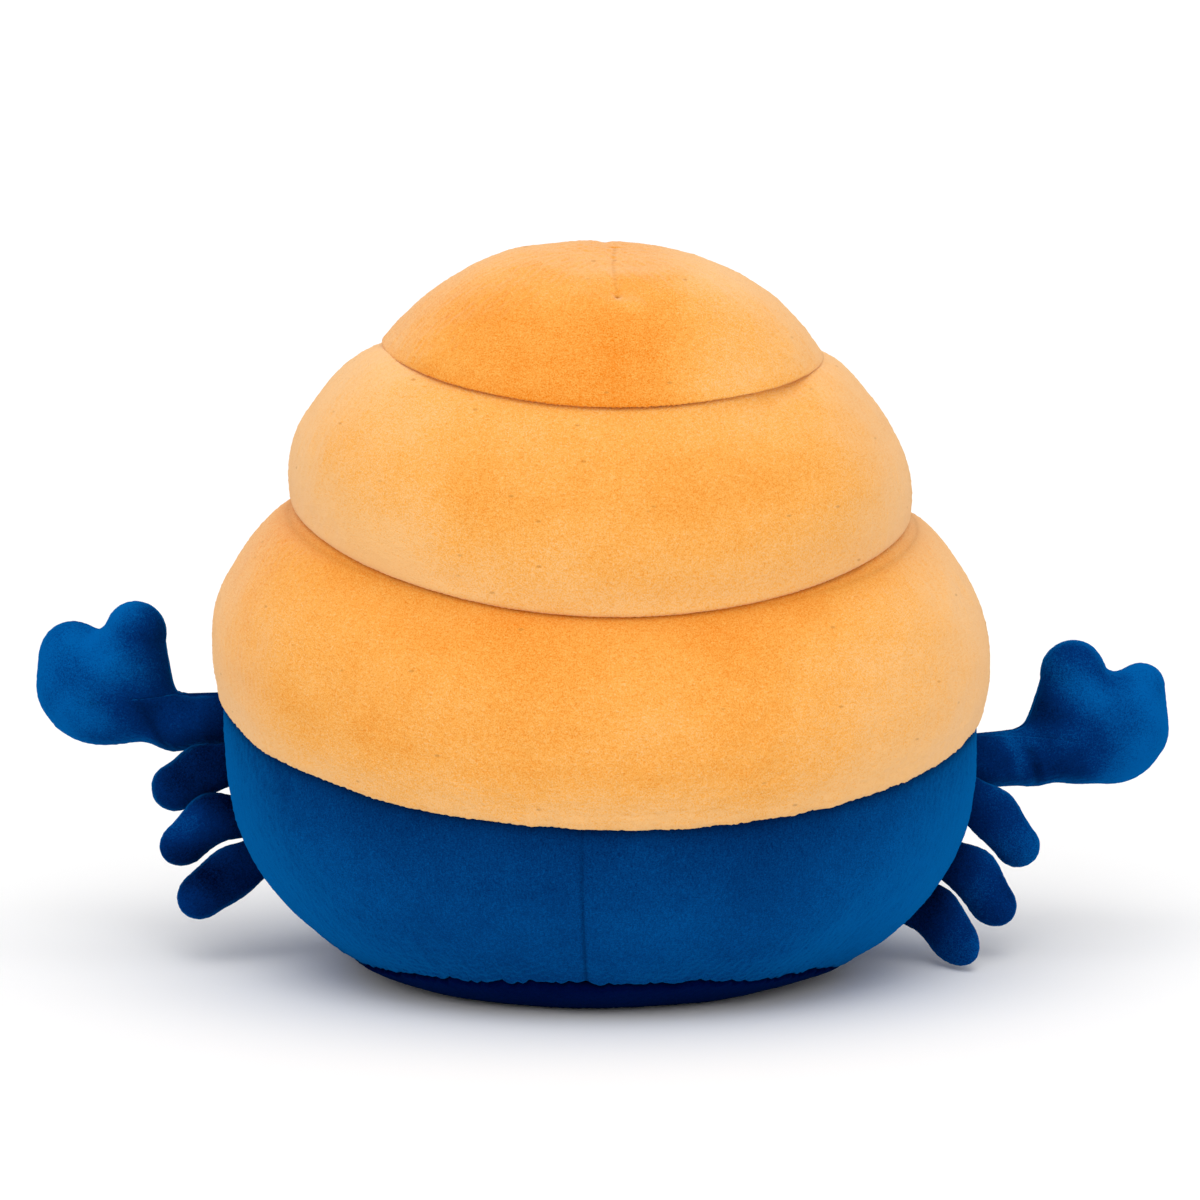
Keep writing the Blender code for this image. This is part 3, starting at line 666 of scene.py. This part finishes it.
def ring_piece(name, points, travel, nap, crease, material):
    """A closed piece from a grid of rings: quads between the rings, and a fan to a middle point at
    each end. The cloth coordinate is the way round and the way up, in metres."""
    rows, columns = travel.shape
    number, after, quads = grid_quads(rows, columns)
    ends = rows * columns + np.arange(2)
    low_fan = np.stack([after[0], number[0], np.full(columns, ends[0])], -1)
    high_fan = np.stack([number[-1], after[-1], np.full(columns, ends[1])], -1)
    girth = np.linalg.norm(np.roll(points, -1, 1) - points, axis=-1).max(0)
    round_way = np.concatenate([[0.0], np.cumsum(girth)])
    left = np.broadcast_to(round_way[:-1], travel.shape)
    right = np.broadcast_to(round_way[1:], travel.shape)
    here = np.stack([left, travel], -1)
    there = np.stack([right, np.roll(travel, -1, 1)], -1)
    on_quads = np.stack([here[:-1], there[:-1], there[1:], here[1:]], -2).reshape(-1, 2)
    on_low = np.stack([there[0], here[0], here[0]], -2).reshape(-1, 2)
    on_high = np.stack([here[-1], there[-1], here[-1]], -2).reshape(-1, 2)
    middles = np.stack([points[0].mean(0), points[-1].mean(0)])
    points = np.concatenate([points.reshape(-1, 3), middles])
    faces = quads.tolist() + low_fan.tolist() + high_fan.tolist()
    fabric = np.concatenate([on_quads, on_low, on_high])
    nap = np.append(nap.ravel(), [nap[0].mean(), nap[-1].mean()])
    crease = np.append(crease.ravel(), [crease[0].mean(), crease[-1].mean()])
    return add_piece(name, points, faces, fabric, nap, crease, material)


def crowded(count):
    """Even steps from 0 to 1 with the ends crowded, where the seams are."""
    t = np.linspace(0.0, 1.0, count)
    return t - 0.55 * np.sin(2.0 * math.pi * t) / (2.0 * math.pi)


def turned_angles(columns):
    """Angles round the stack from the middle of the back, closer together at the back."""
    t = np.arange(columns) / columns
    return BACK + 2.0 * math.pi * t - BACK_CROWDING * np.sin(2.0 * math.pi * t)


def resampled(curve, shares):
    """Points of a flat curve at shares of its length."""
    travelled = np.concatenate([[0.0], np.cumsum(np.linalg.norm(np.diff(curve, axis=0), axis=1))])
    return np.stack([np.interp(shares * travelled[-1], travelled, curve[:, i]) for i in (0, 1)], -1)


def along(curve, rows):
    """A profile curve read at crowded stops, as columns of half-width and height."""
    return resampled(curve, crowded(rows))[:, None]


def settled_roll(half_width, height, angle):
    """The rings of a roll, let down by slump: their points, the length up each column in metres, and
    the outward normals."""
    x = half_width * np.cos(angle)
    y = half_width * np.sin(angle) * depth_ratio(height)
    points = slump(x, y, height)
    return points, travelled_up(points), grid_normals(points)


def travelled_up(points):
    """Length along each column from its first row, in metres."""
    steps = np.linalg.norm(np.diff(points, axis=0), axis=-1)
    return np.concatenate([np.zeros((1, points.shape[1])), np.cumsum(steps, axis=0)])


def upright_seam(angle, half_width, seam_angle):
    """A seam that runs up a roll: (groove depth in metres, painted shade of its line from 0 to 1)."""
    aside = half_width * np.sin(angle - seam_angle)
    same_side = np.cos(angle - seam_angle) > 0.0
    groove = sum(depth * bell(aside, width) for depth, width in SEAM_GROOVES)
    return same_side * groove, same_side * bell(aside, SEAM_LINE)


# Body and shell


def painted_side_light(points, sides):
    """Painted light of a roll, paler towards its sides, from (amount, start, end) to the right and the
    left.
    """
    right, left = sides
    return right[0] * ramp(points[..., 0], *right[1:]) + left[0] * ramp(-points[..., 0], *left[1:])


def puckers(angle, half_width, distance, seed):
    """Little folds that run away from a sewn line and fade out."""
    folds = scallops(angle, half_width, PUCKER_PITCH, seed) - 0.5
    return PUCKER_DEPTH * folds * np.exp(-distance / PUCKER_REACH)


def base_panel(material):
    """Rings from the middle of the flat patch out to its edge, then up the bowl to the base seam."""
    columns, rows = ROLL_GRIDS["base_panel"]
    angle = turned_angles(columns)[None]
    seam = base_seam(angle) - base_tufts(angle)
    flat = np.linspace(0.06, 1.0, rows // 3)[:-1, None]
    climb = np.linspace(0.0, 1.0, rows - rows // 3)[:, None] ** 1.6
    half_width = np.concatenate([flat * BASE_HALF_WIDTH + 0 * angle, bowl(seam * climb)])
    height = np.concatenate([0.0 * flat * angle, seam * climb])
    points, travel, normals = settled_roll(half_width, height, angle)
    to_seam = travel[-1] - travel
    lift = 0.6 * softness(points, 11) - tuck(to_seam, SEAM_DEPTH, 0.0016)
    points = points + normals * lift[..., None]
    points[..., 2] = np.maximum(points[..., 2], 0.0)
    # Painted shade where the base panel turns in under the body's tufted edge
    crease = 0.8 * np.exp(-to_seam / CREASE_SHADE_REACH)
    nap = np.full(travel.shape, -0.1)
    return ring_piece("base_panel_plush", points, travel, nap, crease, material)


def base_tufts(angle):
    """How far the pile at the body's lower edge hangs over the base panel, in metres."""
    broad = scallops(angle, BASE_HALF_WIDTH, 0.012, 15) - 0.4
    return TUFT_LENGTH * (scallops(angle, BASE_HALF_WIDTH, TUFT_PITCH, 5) - 0.45 + 0.6 * broad)


def body(material):
    """Rings up the bowl from the tufted base seam to the shell seam, with the back and side seams."""
    columns, rows = ROLL_GRIDS["body"]
    angle = turned_angles(columns)[None]
    seam = base_seam(angle) - base_tufts(angle) + SEAM_GAP
    top = SHELL_SEAM_HEIGHT - 0.5 * SEAM_GAP - shell_tufts(angle)
    height = seam + (top - seam) * crowded(rows)[:, None]
    half_width = bowl(height) + 0.0 * angle
    points, travel, normals = settled_roll(half_width, height, angle)
    to_seam = travel[-1] - travel
    lift = softness(points, 21) + stuffing(points, np.array((0, rows - 1)), ROLL_COVER)
    lift -= tuck(to_seam, 0.6 * SEAM_DEPTH) + tuck(travel, 0.35 * SEAM_DEPTH, 0.0010)
    lift += puckers(angle, BODY_HALF_WIDTH, to_seam, 22) + 0.5 * puckers(angle, BASE_HALF_WIDTH, travel, 23)
    # Painted shade under the shell's lip, fading down the body, and along the back and side seams
    crease = 0.30 * np.exp(-to_seam / 0.009) + 0.55 * bell(to_seam, 0.0024)
    for seam_angle in (BACK + BACK_SEAM_TURN, SIDE_SEAM_ANGLE, math.pi - SIDE_SEAM_ANGLE):
        groove, line = upright_seam(angle, half_width, seam_angle)
        lift -= groove
        crease = np.maximum(crease, BODY_SEAM_SHADE * line)
    points = points + normals * lift[..., None]
    nap = np.interp(travel / travel[-1], *BODY_NAP_AND_SHADE) + painted_side_light(points, BODY_SIDE_LIGHT)
    return ring_piece("body_plush", points, travel, nap, crease, material)


def shell_tufts(angle):
    """How far the pile at the lower tier's edge hangs over the body, in metres."""
    tufts = scallops(angle, BODY_HALF_WIDTH, 0.45 * TUFT_PITCH, 6)
    tufts = tufts + scallops(angle, BODY_HALF_WIDTH, 0.85 * TUFT_PITCH, 9)
    return 0.11 * TUFT_LENGTH * (tufts - 0.6)


def lower_tier(material):
    """Rings round the widest roll: from the shell seam out over a lip, up the side and in over the
    shoulder to the middle seam."""
    columns, rows = ROLL_GRIDS["shell_lower_tier"]
    angle = turned_angles(columns)[None]
    seam = np.array((BODY_HALF_WIDTH - 0.0002, SHELL_SEAM_HEIGHT + 0.5 * SEAM_GAP))
    widest = np.array((LOWER_HALF_WIDTH, LOWER_WIDEST_HEIGHT))
    climb = widest[1] - seam[1]
    side = bezier(seam, seam + (0.22 * climb, 0.30 * climb), widest - (0.0, 0.45 * climb), widest)
    profile = along(np.concatenate([side, lower_shoulder()[1:]]), rows)
    half_width, height = (profile[..., i] + 0.0 * angle for i in (0, 1))
    points, travel, normals = settled_roll(half_width, height, angle)
    points[..., 2] -= (FRINGE + shell_tufts(angle)) * bell(travel, 0.0020)
    covered = np.interp(MIDDLE_HALF_WIDTH - MIDDLE_LIP, profile[::-1, 0, 0], travel[::-1, 0])
    to_lip = np.abs(covered - travel)
    lift = softness(points, 31) + puckers(angle, BODY_HALF_WIDTH, travel, 32)
    groove, line = upright_seam(angle, half_width, FRONT)
    hidden = travel > covered
    sewn = np.append(0, np.flatnonzero(hidden.all(1)))
    lift += stuffing(points, sewn, ROLL_COVER) * ramp(travel, 0.0, 0.004)
    lift = np.where(hidden, np.minimum(lift, 0.0), lift) * calm(to_lip) - groove
    points = points + normals * lift[..., None]
    # Painted shade in the crease under the middle tier's lip, and along the front seam
    crease = 0.20 * np.exp(-to_lip / CREASE_SHADE_REACH) + 0.10 * np.exp(-to_lip / 0.005)
    crease = np.maximum(crease, SHELL_SEAM_SHADE * line)
    nap = np.interp(travel / covered, *LOWER_NAP_AND_SHADE) + painted_side_light(points, SHELL_SIDE_LIGHT) - SHELL_DEEPER
    return ring_piece("shell_lower_tier_plush", points, travel, nap, crease, material)


def resting_roll(profile, angle, edge, seed):
    """A roll that rests on the one below it and leaves it at edge. Gives its half-widths, points,
    outward normals, length up each column, that length at the edge, and its lift in metres."""
    half_width, height = (profile[..., i] + 0.0 * angle for i in (0, 1))
    points, travel, normals = settled_roll(half_width, height, angle)
    nearest = np.hypot(profile[:, 0, 0] - edge[0], profile[:, 0, 1] - edge[1]).argmin()
    start = travel[nearest]
    outside = np.maximum(travel - start, 0.0)
    lift = softness(points, seed) + puckers(angle, half_width.max(), outside, seed + 3)
    lift += stuffing(points, np.arange(nearest + 1), ROLL_COVER)
    return half_width, points, normals, travel, start, lift


def lip_tufts(angle, half_width, pitch, seed):
    """How far the pile along a roll's lip is short of its longest tufts, in metres."""
    return 0.35 * TUFT_LENGTH * (1.0 - scallops(angle, half_width, pitch * TUFT_PITCH, seed))


def middle_tier(material):
    """Rings round the middle roll: along its underside, round a full lip, and in over the shoulder
    to the seam that the cap covers."""
    columns, rows = ROLL_GRIDS["shell_middle_tier"]
    angle = turned_angles(columns)[None]
    under = rest_on(lower_shoulder(), MIDDLE_HALF_WIDTH - MIDDLE_LIP)
    edge, widest = under[-1], np.array((MIDDLE_HALF_WIDTH, MIDDLE_WIDEST_HEIGHT))
    bend = edge + (0.8 * MIDDLE_LIP, -0.3 * MIDDLE_LIP)
    turn = bezier(edge, bend, (widest[0], edge[1] + 0.45 * (widest[1] - edge[1])), widest)
    profile = along(np.concatenate([under, turn[1:], middle_shoulder()[1:]]), rows)
    half_width, points, normals, travel, start, lift = resting_roll(profile, angle, edge, 41)
    inward = slice(None, profile[:, 0, 0].argmax(), -1)
    covered = np.interp(CAP_HALF_WIDTH - CAP_LIP, profile[inward, 0, 0], travel[inward, 0])
    to_edge, to_lip = np.abs(travel - start), np.abs(covered - travel)
    groove, line = upright_seam(angle, half_width, FRONT)
    bare = (travel > start) & (travel < covered)
    lift = np.where(bare, lift, np.minimum(lift, 0.0)) * calm(to_edge) * calm(to_lip)
    points = points + normals * (lift - groove)[..., None]
    points[..., 2] += lip_tufts(angle, MIDDLE_HALF_WIDTH, 0.6, 7) * bell(to_edge, LIP_REACH)
    # Painted shade at its own lip, under the cap's lip and along the front seam
    crease = 0.10 * np.exp(-to_edge / CREASE_SHADE_REACH) + 0.04 * np.exp(-to_lip / CREASE_SHADE_REACH)
    share = np.maximum(travel - start, 0.0) / (covered - start)
    nap = np.interp(share, *MIDDLE_NAP_AND_SHADE) + painted_side_light(points, SHELL_SIDE_LIGHT) - SHELL_DEEPER
    nap = nap + painted_side_light(points, MIDDLE_SIDE_LIGHT)
    crease = np.maximum(crease, SHELL_SEAM_SHADE * line)
    return ring_piece("shell_middle_tier_plush", points, travel, nap, crease, material)


def cap(material):
    """Rings round the domed top: along its underside, over a small lip and up to the top, with a
    dart that ends in a small gathered hole."""
    columns, rows = ROLL_GRIDS["shell_cap"]
    angle = turned_angles(columns)[None]
    under = rest_on(middle_shoulder(), CAP_HALF_WIDTH - CAP_LIP)
    edge = under[-1]
    lip = np.array((CAP_HALF_WIDTH, edge[1] + CAP_LIP))
    rise = CAP_TOP_HEIGHT - lip[1]
    side = (CAP_SIDE_FULLNESS[0] * lip[0], lip[1] + CAP_SIDE_FULLNESS[1] * rise)
    top = (CAP_TOP_FULLNESS * lip[0], CAP_TOP_HEIGHT)
    dome = bezier(lip, side, top, (CAP_MIDDLE_RADIUS, CAP_TOP_HEIGHT))
    profile = along(np.concatenate([under, dome]), rows)
    half_width, points, normals, travel, start, lift = resting_roll(profile, angle, edge, 51)
    to_edge = np.abs(travel - start)
    lift = np.where(travel > start, lift, np.minimum(lift, 0.0)) * calm(to_edge)
    lift -= tuck(to_edge, 0.0006, 0.0040)
    groove, line = upright_seam(angle, half_width, FRONT)
    clear = ramp(half_width, 0.004, 0.010)
    lift -= 0.55 * groove * clear
    # Painted shade at its lip and along the front seam
    crease = np.maximum(0.05 * np.exp(-to_edge / CREASE_SHADE_REACH), SHELL_SEAM_SHADE * line * clear)
    ahead = -half_width * np.sin(angle) - DART_END
    aside = half_width * np.cos(angle) - DART_ASIDE - 0.0010 * np.sin(90.0 * ahead)
    dart = np.where((ahead < 0.0) & (ahead > -DART_END), bell(aside, DART_GROOVE[1]), 0.0)
    stitches = 0.65 + 0.35 * np.sin(2.0 * math.pi * ahead / DART_STITCH)
    from_hole = np.hypot(ahead, aside)
    gather = np.hypot((aside - GATHER_PLACE[0]) / 1.6, ahead - GATHER_PLACE[1])
    lift -= DART_GROOVE[0] * dart
    lift -= sum(depth * bell(from_hole, width) for depth, width in (HOLE, HOLE_DIP))
    lift += GATHER[0] * bell(gather, GATHER[1])
    # Painted shade in the dart's stitched groove, and a spot of painted shade in the gathered hole
    crease = np.maximum(crease, 0.26 * dart * stitches * bell(aside, 0.0005))
    crease = np.maximum(crease, 0.9 * bell(from_hole, 0.00055))
    points = points + normals * lift[..., None]
    points[..., 2] += lip_tufts(angle, CAP_HALF_WIDTH, 0.5, 8) * bell(to_edge, LIP_REACH)
    share = np.maximum(travel - start, 0.0) / travel[-1]
    # Paler over the gathered pucker beside the hole, and a little deeper low in the middle
    nap = np.interp(share, *CAP_NAP_AND_SHADE) + painted_side_light(points, CAP_SIDE_LIGHT) + 0.4 * bell(gather, 0.0024)
    nap = nap - 0.15 * bell(points[..., 0] - 0.004, 0.022) * ramp(0.7 - share, 0.0, 0.2)
    return ring_piece("shell_cap_plush", points, travel, nap, crease, material)


# Claws and legs


def lobe_distance(points, lobes, blend, thickness):
    """Signed distance to a smooth union of round-ended tapering lobes."""
    total = np.zeros(points.shape[:-1])
    for start, end, radius_a, radius_b in lobes:
        start, end = np.array(start), np.array(end)
        line = end - start
        share = np.clip(((points - start) @ line) / (line @ line), 0.0, 1.0)
        off = points - (start + share[..., None] * line)
        flat = np.sqrt((off**2).sum(-1) + (thickness / LIMB_FLATNESS) ** 2)
        total += np.exp(-(flat - (radius_a + share * (radius_b - radius_a))) / blend)
    return -blend * np.log(total)


def first_zero(rule, far):
    """For each entry of far, the value between 0 and far where the rising rule passes zero."""
    low, high = np.zeros_like(far), far.copy()
    for _ in range(40):
        middle = 0.5 * (low + high)
        inside = rule(middle) < 0.0
        low, high = np.where(inside, middle, low), np.where(inside, high, middle)
    return 0.5 * (low + high)


def limb_outline(lobes, blend, centre, columns):
    """Evenly spaced points round a limb's flat outline, cut straight at the root."""
    angles = np.linspace(0.0, 2.0 * math.pi, 2881)
    rays = np.stack([np.cos(angles), np.sin(angles)], -1)
    far = np.full(len(angles), LIMB_REACH)
    reach = first_zero(lambda r: lobe_distance(centre + rays * r[:, None], lobes, blend, 0.0), far)
    to_root = np.where(rays[:, 0] < -1e-6, centre[0] / np.maximum(-rays[:, 0], 1e-6), 1.0)
    edge = centre + rays * np.minimum(reach, to_root)[:, None]
    return resampled(edge, np.arange(columns) / columns)


def body_surface(angle, height):
    """Points of the body's settled surface and the outward directions there."""

    def at(a, h):
        return slump(bowl(h) * np.cos(a), bowl(h) * np.sin(a) * depth_ratio(h), h)

    small = 1e-5
    point = at(angle, height)
    normal = np.cross(at(angle + small, height) - point, at(angle, height + small) - point)
    return point, normal / np.linalg.norm(normal, axis=-1, keepdims=True)


def limb_seat(right, angle, height):
    """Where a limb is sewn into the body's side: the point, and the out, up and backward directions."""
    point, out = body_surface(angle if right else math.pi - angle, height)
    up = np.array((0.0, 0.0, 1.0)) - out * out[2]
    up /= np.linalg.norm(up)
    return point + out * SEAM_GAP * 1.5, out, up, np.cross(out, up)


def limb(name, lobes, blend, centre, seat, sweep, grid, folds, seed, tone_and_shade, material):
    """Two stuffed halves: an outline shrinks to its middle ring by ring, and each point stands as
    thick as the smooth union of the lobes is there."""
    columns, rings = grid
    centre = np.array(centre)
    outline = limb_outline(lobes, blend, centre, columns)
    shares = np.sin(np.linspace(0.03, math.pi / 2.0, rings))
    flat = centre + (outline - centre)[None] * shares[:, None, None]
    far = np.full(flat.shape[:-1], 0.03)
    rise = first_zero(lambda t: lobe_distance(flat, lobes, blend, t), far)
    pinch = ROOT_PINCH + (1.0 - ROOT_PINCH) * np.clip(flat[..., 0] / ROOT_PINCH_LENGTH, 0.0, 1.0) ** 0.7
    rise = np.maximum(rise * pinch, LIMB_EDGE)[..., None]
    point, out, up, side = seat
    swing = sweep * (flat[..., :1] / flat[..., 0].max()) ** 2
    middle = point + flat[..., :1] * out + flat[..., 1:] * up + swing * side
    halves = np.concatenate([middle - rise * side, (middle + rise * side)[::-1]])
    flat = np.concatenate([flat, flat[::-1]])
    return finish_limb(name, halves, flat, side, folds, seed, tone_and_shade, material)


def finish_limb(name, points, flat, side, folds, seed, tone_and_shade, material):
    """Softens a limb, folds it and makes it a piece."""
    travel = travelled_up(points)
    normals = grid_normals(points)
    sewn = len(points) // 2 - np.array((1, 0))
    lift = 0.55 * softness(points, seed) + stuffing(points, sewn, LIMB_COVER)
    crease, ridge = np.zeros(travel.shape), np.zeros(travel.shape)
    flatwise = np.abs(normals @ side)
    for place, slope, depth, width, end in folds:
        across = flat[..., 0] - place - slope * flat[..., 1]
        line = bell(across, width) * ramp(-flat[..., 1], -end, 0.002 - end) * flatwise
        lift -= depth * line
        # Painted shade in the fold, and a painted highlight on the ridge beside it
        crease = np.maximum(crease, 0.40 * line)
        ridge += depth * bell(across + 3.0 * width, 1.6 * width) * flatwise
    # Painted shade where the limb meets the body
    root = np.exp(-flat[..., 0] / ROOT_SHADE_REACH)
    crease = np.maximum(crease, 0.5 * root)
    points = points + normals * (lift * (1.0 - 0.8 * root))[..., None]
    # Painted shade near the root and painted light further out, paler above the fingers' height and on the
    # ridges beside folds, with random waves of tone
    stops = np.array(tone_and_shade)
    nap = np.interp(flat[..., 0], stops[:, 0], stops[:, 1]) + 0.22 * waves(points, 0.018, seed + 4)
    nap = nap + FINGER_TOP_LIGHT * np.maximum(flat[..., 1] - FINGER_TOP_LIGHT_HEIGHT, 0.0) + RIDGE_HIGHLIGHT * ridge
    return ring_piece(name, points, travel, nap, crease, material)


def claw(side, shape, material):
    """A claw: an arm that swells into a round palm with a long finger and a short thumb."""
    wrist, palm, finger, thumb = (shape[key] for key in ("wrist", "palm", "finger", "thumb"))
    out, up, palm_radius = palm
    inner, outer = (out - PALM_HALF_STRETCH, up), (out + PALM_HALF_STRETCH, up)
    (finger_step, finger_radius), (thumb_step, thumb_radius) = shape["finger_root"], shape["thumb_root"]
    lobes = [
        ((-LIMB_STUB, shape["arm_up"]), wrist[:2], wrist[2], wrist[2]),
        (wrist[:2], palm[:2], wrist[2], 0.7 * palm_radius),
        (inner, outer, palm_radius, palm_radius),
        ((out + finger_step, up), finger[:2], finger_radius, finger[2]),
        ((out + thumb_step, up), thumb[:2], thumb_radius, thumb[2]),
    ]
    seat = limb_seat(side == "right", CLAW_SEAM_ANGLE, shape["height"])
    name, centre = f"claw_{side}_plush", (0.9 * out, 0.8 * up)
    folds, seed, tone_and_shade = shape["folds"], shape["seed"], shape["tone_and_shade"]
    return limb(name, lobes, CLAW_BLEND, centre, seat, 0.0, CLAW_GRID, folds, seed, tone_and_shade, material)


def leg(side, place, shape, seed, material):
    """A short stuffed leg that bows up between its root and its tip and sweeps backward."""
    angle, height, out, up, bow, sweep, tip_radius = shape
    length = math.hypot(out, up)
    knee = (0.5 * out - bow * up / length, 0.5 * up + bow * out / length)
    stub = (-LIMB_STUB, -LIMB_STUB * knee[1] / knee[0])
    knee_radius = 0.5 * (LEG_RADIUS + tip_radius)
    lobes = [
        (stub, knee, LEG_RADIUS, knee_radius),
        (knee, (out, up), knee_radius, tip_radius),
    ]
    centre = (0.5 * (knee[0] + out), 0.5 * (knee[1] + up))
    right, name = side == "right", f"leg_{side}_{place}_plush"
    seat = limb_seat(right, angle, height)
    swing = sweep if right else -sweep
    tone_and_shade = RIGHT_LEG_SHADING if right else LEFT_LEG_SHADING
    return limb(name, lobes, LEG_BLEND, centre, seat, swing, LEG_GRID, (), seed, tone_and_shade, material)


# Face


def eye(name, side, material):
    """A domed upright oval of satin stitch: rings of an ellipse laid on the body, raised by a dome
    and by ridges one stitch apart."""
    turn = np.linspace(0.0, 2.0 * math.pi, 96, endpoint=False)[None]
    share = np.concatenate([np.linspace(0.1, 1.0, 24), np.linspace(1.0, 0.1, 6)])[:, None]
    top = np.concatenate([np.ones(24), np.zeros(6)])[:, None]
    x = 0.5 * side * EYE_SPACING + EYE_HALF_WIDTH * np.cos(turn) * share
    height = EYE_HEIGHT + EYE_HALF_HEIGHT * np.sin(turn) * share
    point, out = body_surface(np.arccos(x / bowl(height)), height)
    dome = THREAD_THICKNESS * (0.2 + 0.8 * np.sqrt(np.maximum(0.0, 1.0 - share * share)))
    ridge = 0.00008 * np.abs(np.sin(math.pi * height / STITCH_PITCH))
    points = point + out * (SEAM_GAP + top * (dome + ridge))[..., None]
    return face_piece(name, points, material)


def mouth(material):
    """A smile: rings of a stitched cord along a shallow curve, swelling between stitches."""
    stops = 121
    t = np.linspace(-1.0, 1.0, stops)[:, None]
    turn = np.linspace(0.0, 2.0 * math.pi, 20, endpoint=False)[None]
    x = MOUTH_HALF_WIDTH * t
    height = MOUTH_HEIGHT - MOUTH_DROP * (1.0 - t * t)
    at, out = body_surface(np.arccos(x / bowl(height)), height)
    slope = np.arctan(2.0 * MOUTH_DROP * t / MOUTH_HALF_WIDTH)
    across = np.stack([-np.sin(slope), 0.0 * slope, np.cos(slope)], -1)
    across -= out * (out * across).sum(-1, keepdims=True)
    across /= np.linalg.norm(across, axis=-1, keepdims=True)
    rounded = np.sqrt(np.clip((1.0 - np.abs(t)) / 0.06, 0.05, 1.0))
    stitch = 1.0 - 0.14 * np.abs(np.sin(math.pi * t * MOUTH_HALF_WIDTH / (2.0 * STITCH_PITCH) + 0.5 * turn))
    radius = (MOUTH_THREAD_RADIUS * rounded * stitch)[..., None]
    middle = at + out * (SEAM_GAP + MOUTH_THREAD_RADIUS)
    points = middle + radius * (np.cos(turn)[..., None] * across + np.sin(turn)[..., None] * out)
    return face_piece("mouth_thread", points[::-1], material)


def face_piece(name, points, material):
    """An embroidered piece, which has no nap and no painted shade or light."""
    travel = travelled_up(points)
    none = np.zeros(travel.shape)
    return ring_piece(name, points, travel, none, none, material)


# Studio


def studio():
    """A pale floor, soft lights and a white background."""
    bpy.ops.mesh.primitive_plane_add(size=FLOOR_SIZE)
    floor = bpy.context.object
    floor.name = "studio_floor"
    pale = bpy.data.materials.new("studio_floor")
    pale.use_nodes = True
    tree, grey = pale.node_tree, (FLOOR_GREY, FLOOR_GREY, FLOOR_GREY, 1.0)
    set_inputs(tree, tree.nodes["Principled BSDF"], Base_Color=grey, Roughness=FLOOR_ROUGHNESS)
    floor.data.materials.append(pale)
    for light in LIGHTS:
        soft_light(*light)
    world = bpy.data.worlds.new("studio")
    bpy.context.scene.world = world
    world.use_nodes = True
    tree = world.node_tree
    tree.nodes.clear()
    rays = tree.nodes.new("ShaderNodeLightPath").outputs
    seen = maths(tree, "MAXIMUM", rays["Is Camera Ray"], rays["Is Glossy Ray"])
    seen = maths(tree, "MAXIMUM", seen, rays["Is Transmission Ray"])
    glow, white = (
        add_node(tree, "ShaderNodeBackground", Color=(1.0, 1.0, 1.0, 1.0), Strength=strength).outputs[0]
        for strength in (SKY_STRENGTH, 1.0)
    )
    blend = add_node(tree, "ShaderNodeMixShader", i0=seen, i1=glow, i2=white)
    add_node(tree, "ShaderNodeOutputWorld", Surface=blend.outputs[0])


def soft_light(name, elevation, azimuth, strength):
    """A wide, even light from far away."""
    data = bpy.data.lights.new(name, "SUN")
    data.angle = LIGHT_SPREAD
    data.energy = strength
    item = bpy.data.objects.new(name, data)
    item.rotation_euler = (FRONT - math.radians(elevation), 0.0, math.radians(azimuth))
    bpy.context.scene.collection.objects.link(item)


def camera():
    """The photograph's view: level with the toy, a little from above, behind its back."""
    data = bpy.data.cameras.new("camera")
    data.lens = CAMERA_LENS
    data.sensor_width = 36.0
    item = bpy.data.objects.new("camera", data)
    back = CAMERA_DISTANCE * math.cos(CAMERA_ELEVATION)
    item.location = (0.0, -back, CAMERA_TARGET_HEIGHT + CAMERA_DISTANCE * math.sin(CAMERA_ELEVATION))
    item.rotation_euler = (FRONT - CAMERA_ELEVATION, 0.0, 0.0)
    bpy.context.scene.collection.objects.link(item)
    bpy.context.scene.camera = item
    bpy.context.scene.view_settings.view_transform = "Standard"


def dress(piece, node):
    """The piece rides the toy and stands for a node, whose part is hidden."""
    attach(piece, "root")
    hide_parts(node)


def main():
    """Every piece over its node, then the studio and the camera."""
    orange, blue, shaded_base_blue, limb_blue = (plush(name) for name in PILES)
    thread = satin("satin_thread", THREAD)
    dress(base_panel(shaded_base_blue), "base_panel")
    dress(body(blue), "body")
    dress(lower_tier(orange), "shell_lower_tier")
    dress(middle_tier(orange), "shell_middle_tier")
    dress(cap(orange), "shell_cap")
    for side, shape in (("left", LEFT_CLAW), ("right", RIGHT_CLAW)):
        dress(claw(side, shape, limb_blue), f"claw_{side}")
    for number, place in enumerate(("front", "middle", "rear")):
        for side, legs, seed in (("left", LEFT_LEGS, 81), ("right", RIGHT_LEGS, 91)):
            piece = leg(side, place, legs[place], seed + 3 * number, limb_blue)
            dress(piece, f"leg_{side}_{place}")
    dress(eye("eye_left_thread", -1.0, thread), "eye_left")
    dress(eye("eye_right_thread", 1.0, thread), "eye_right")
    dress(mouth(thread), "mouth")
    studio()
    camera()


main()
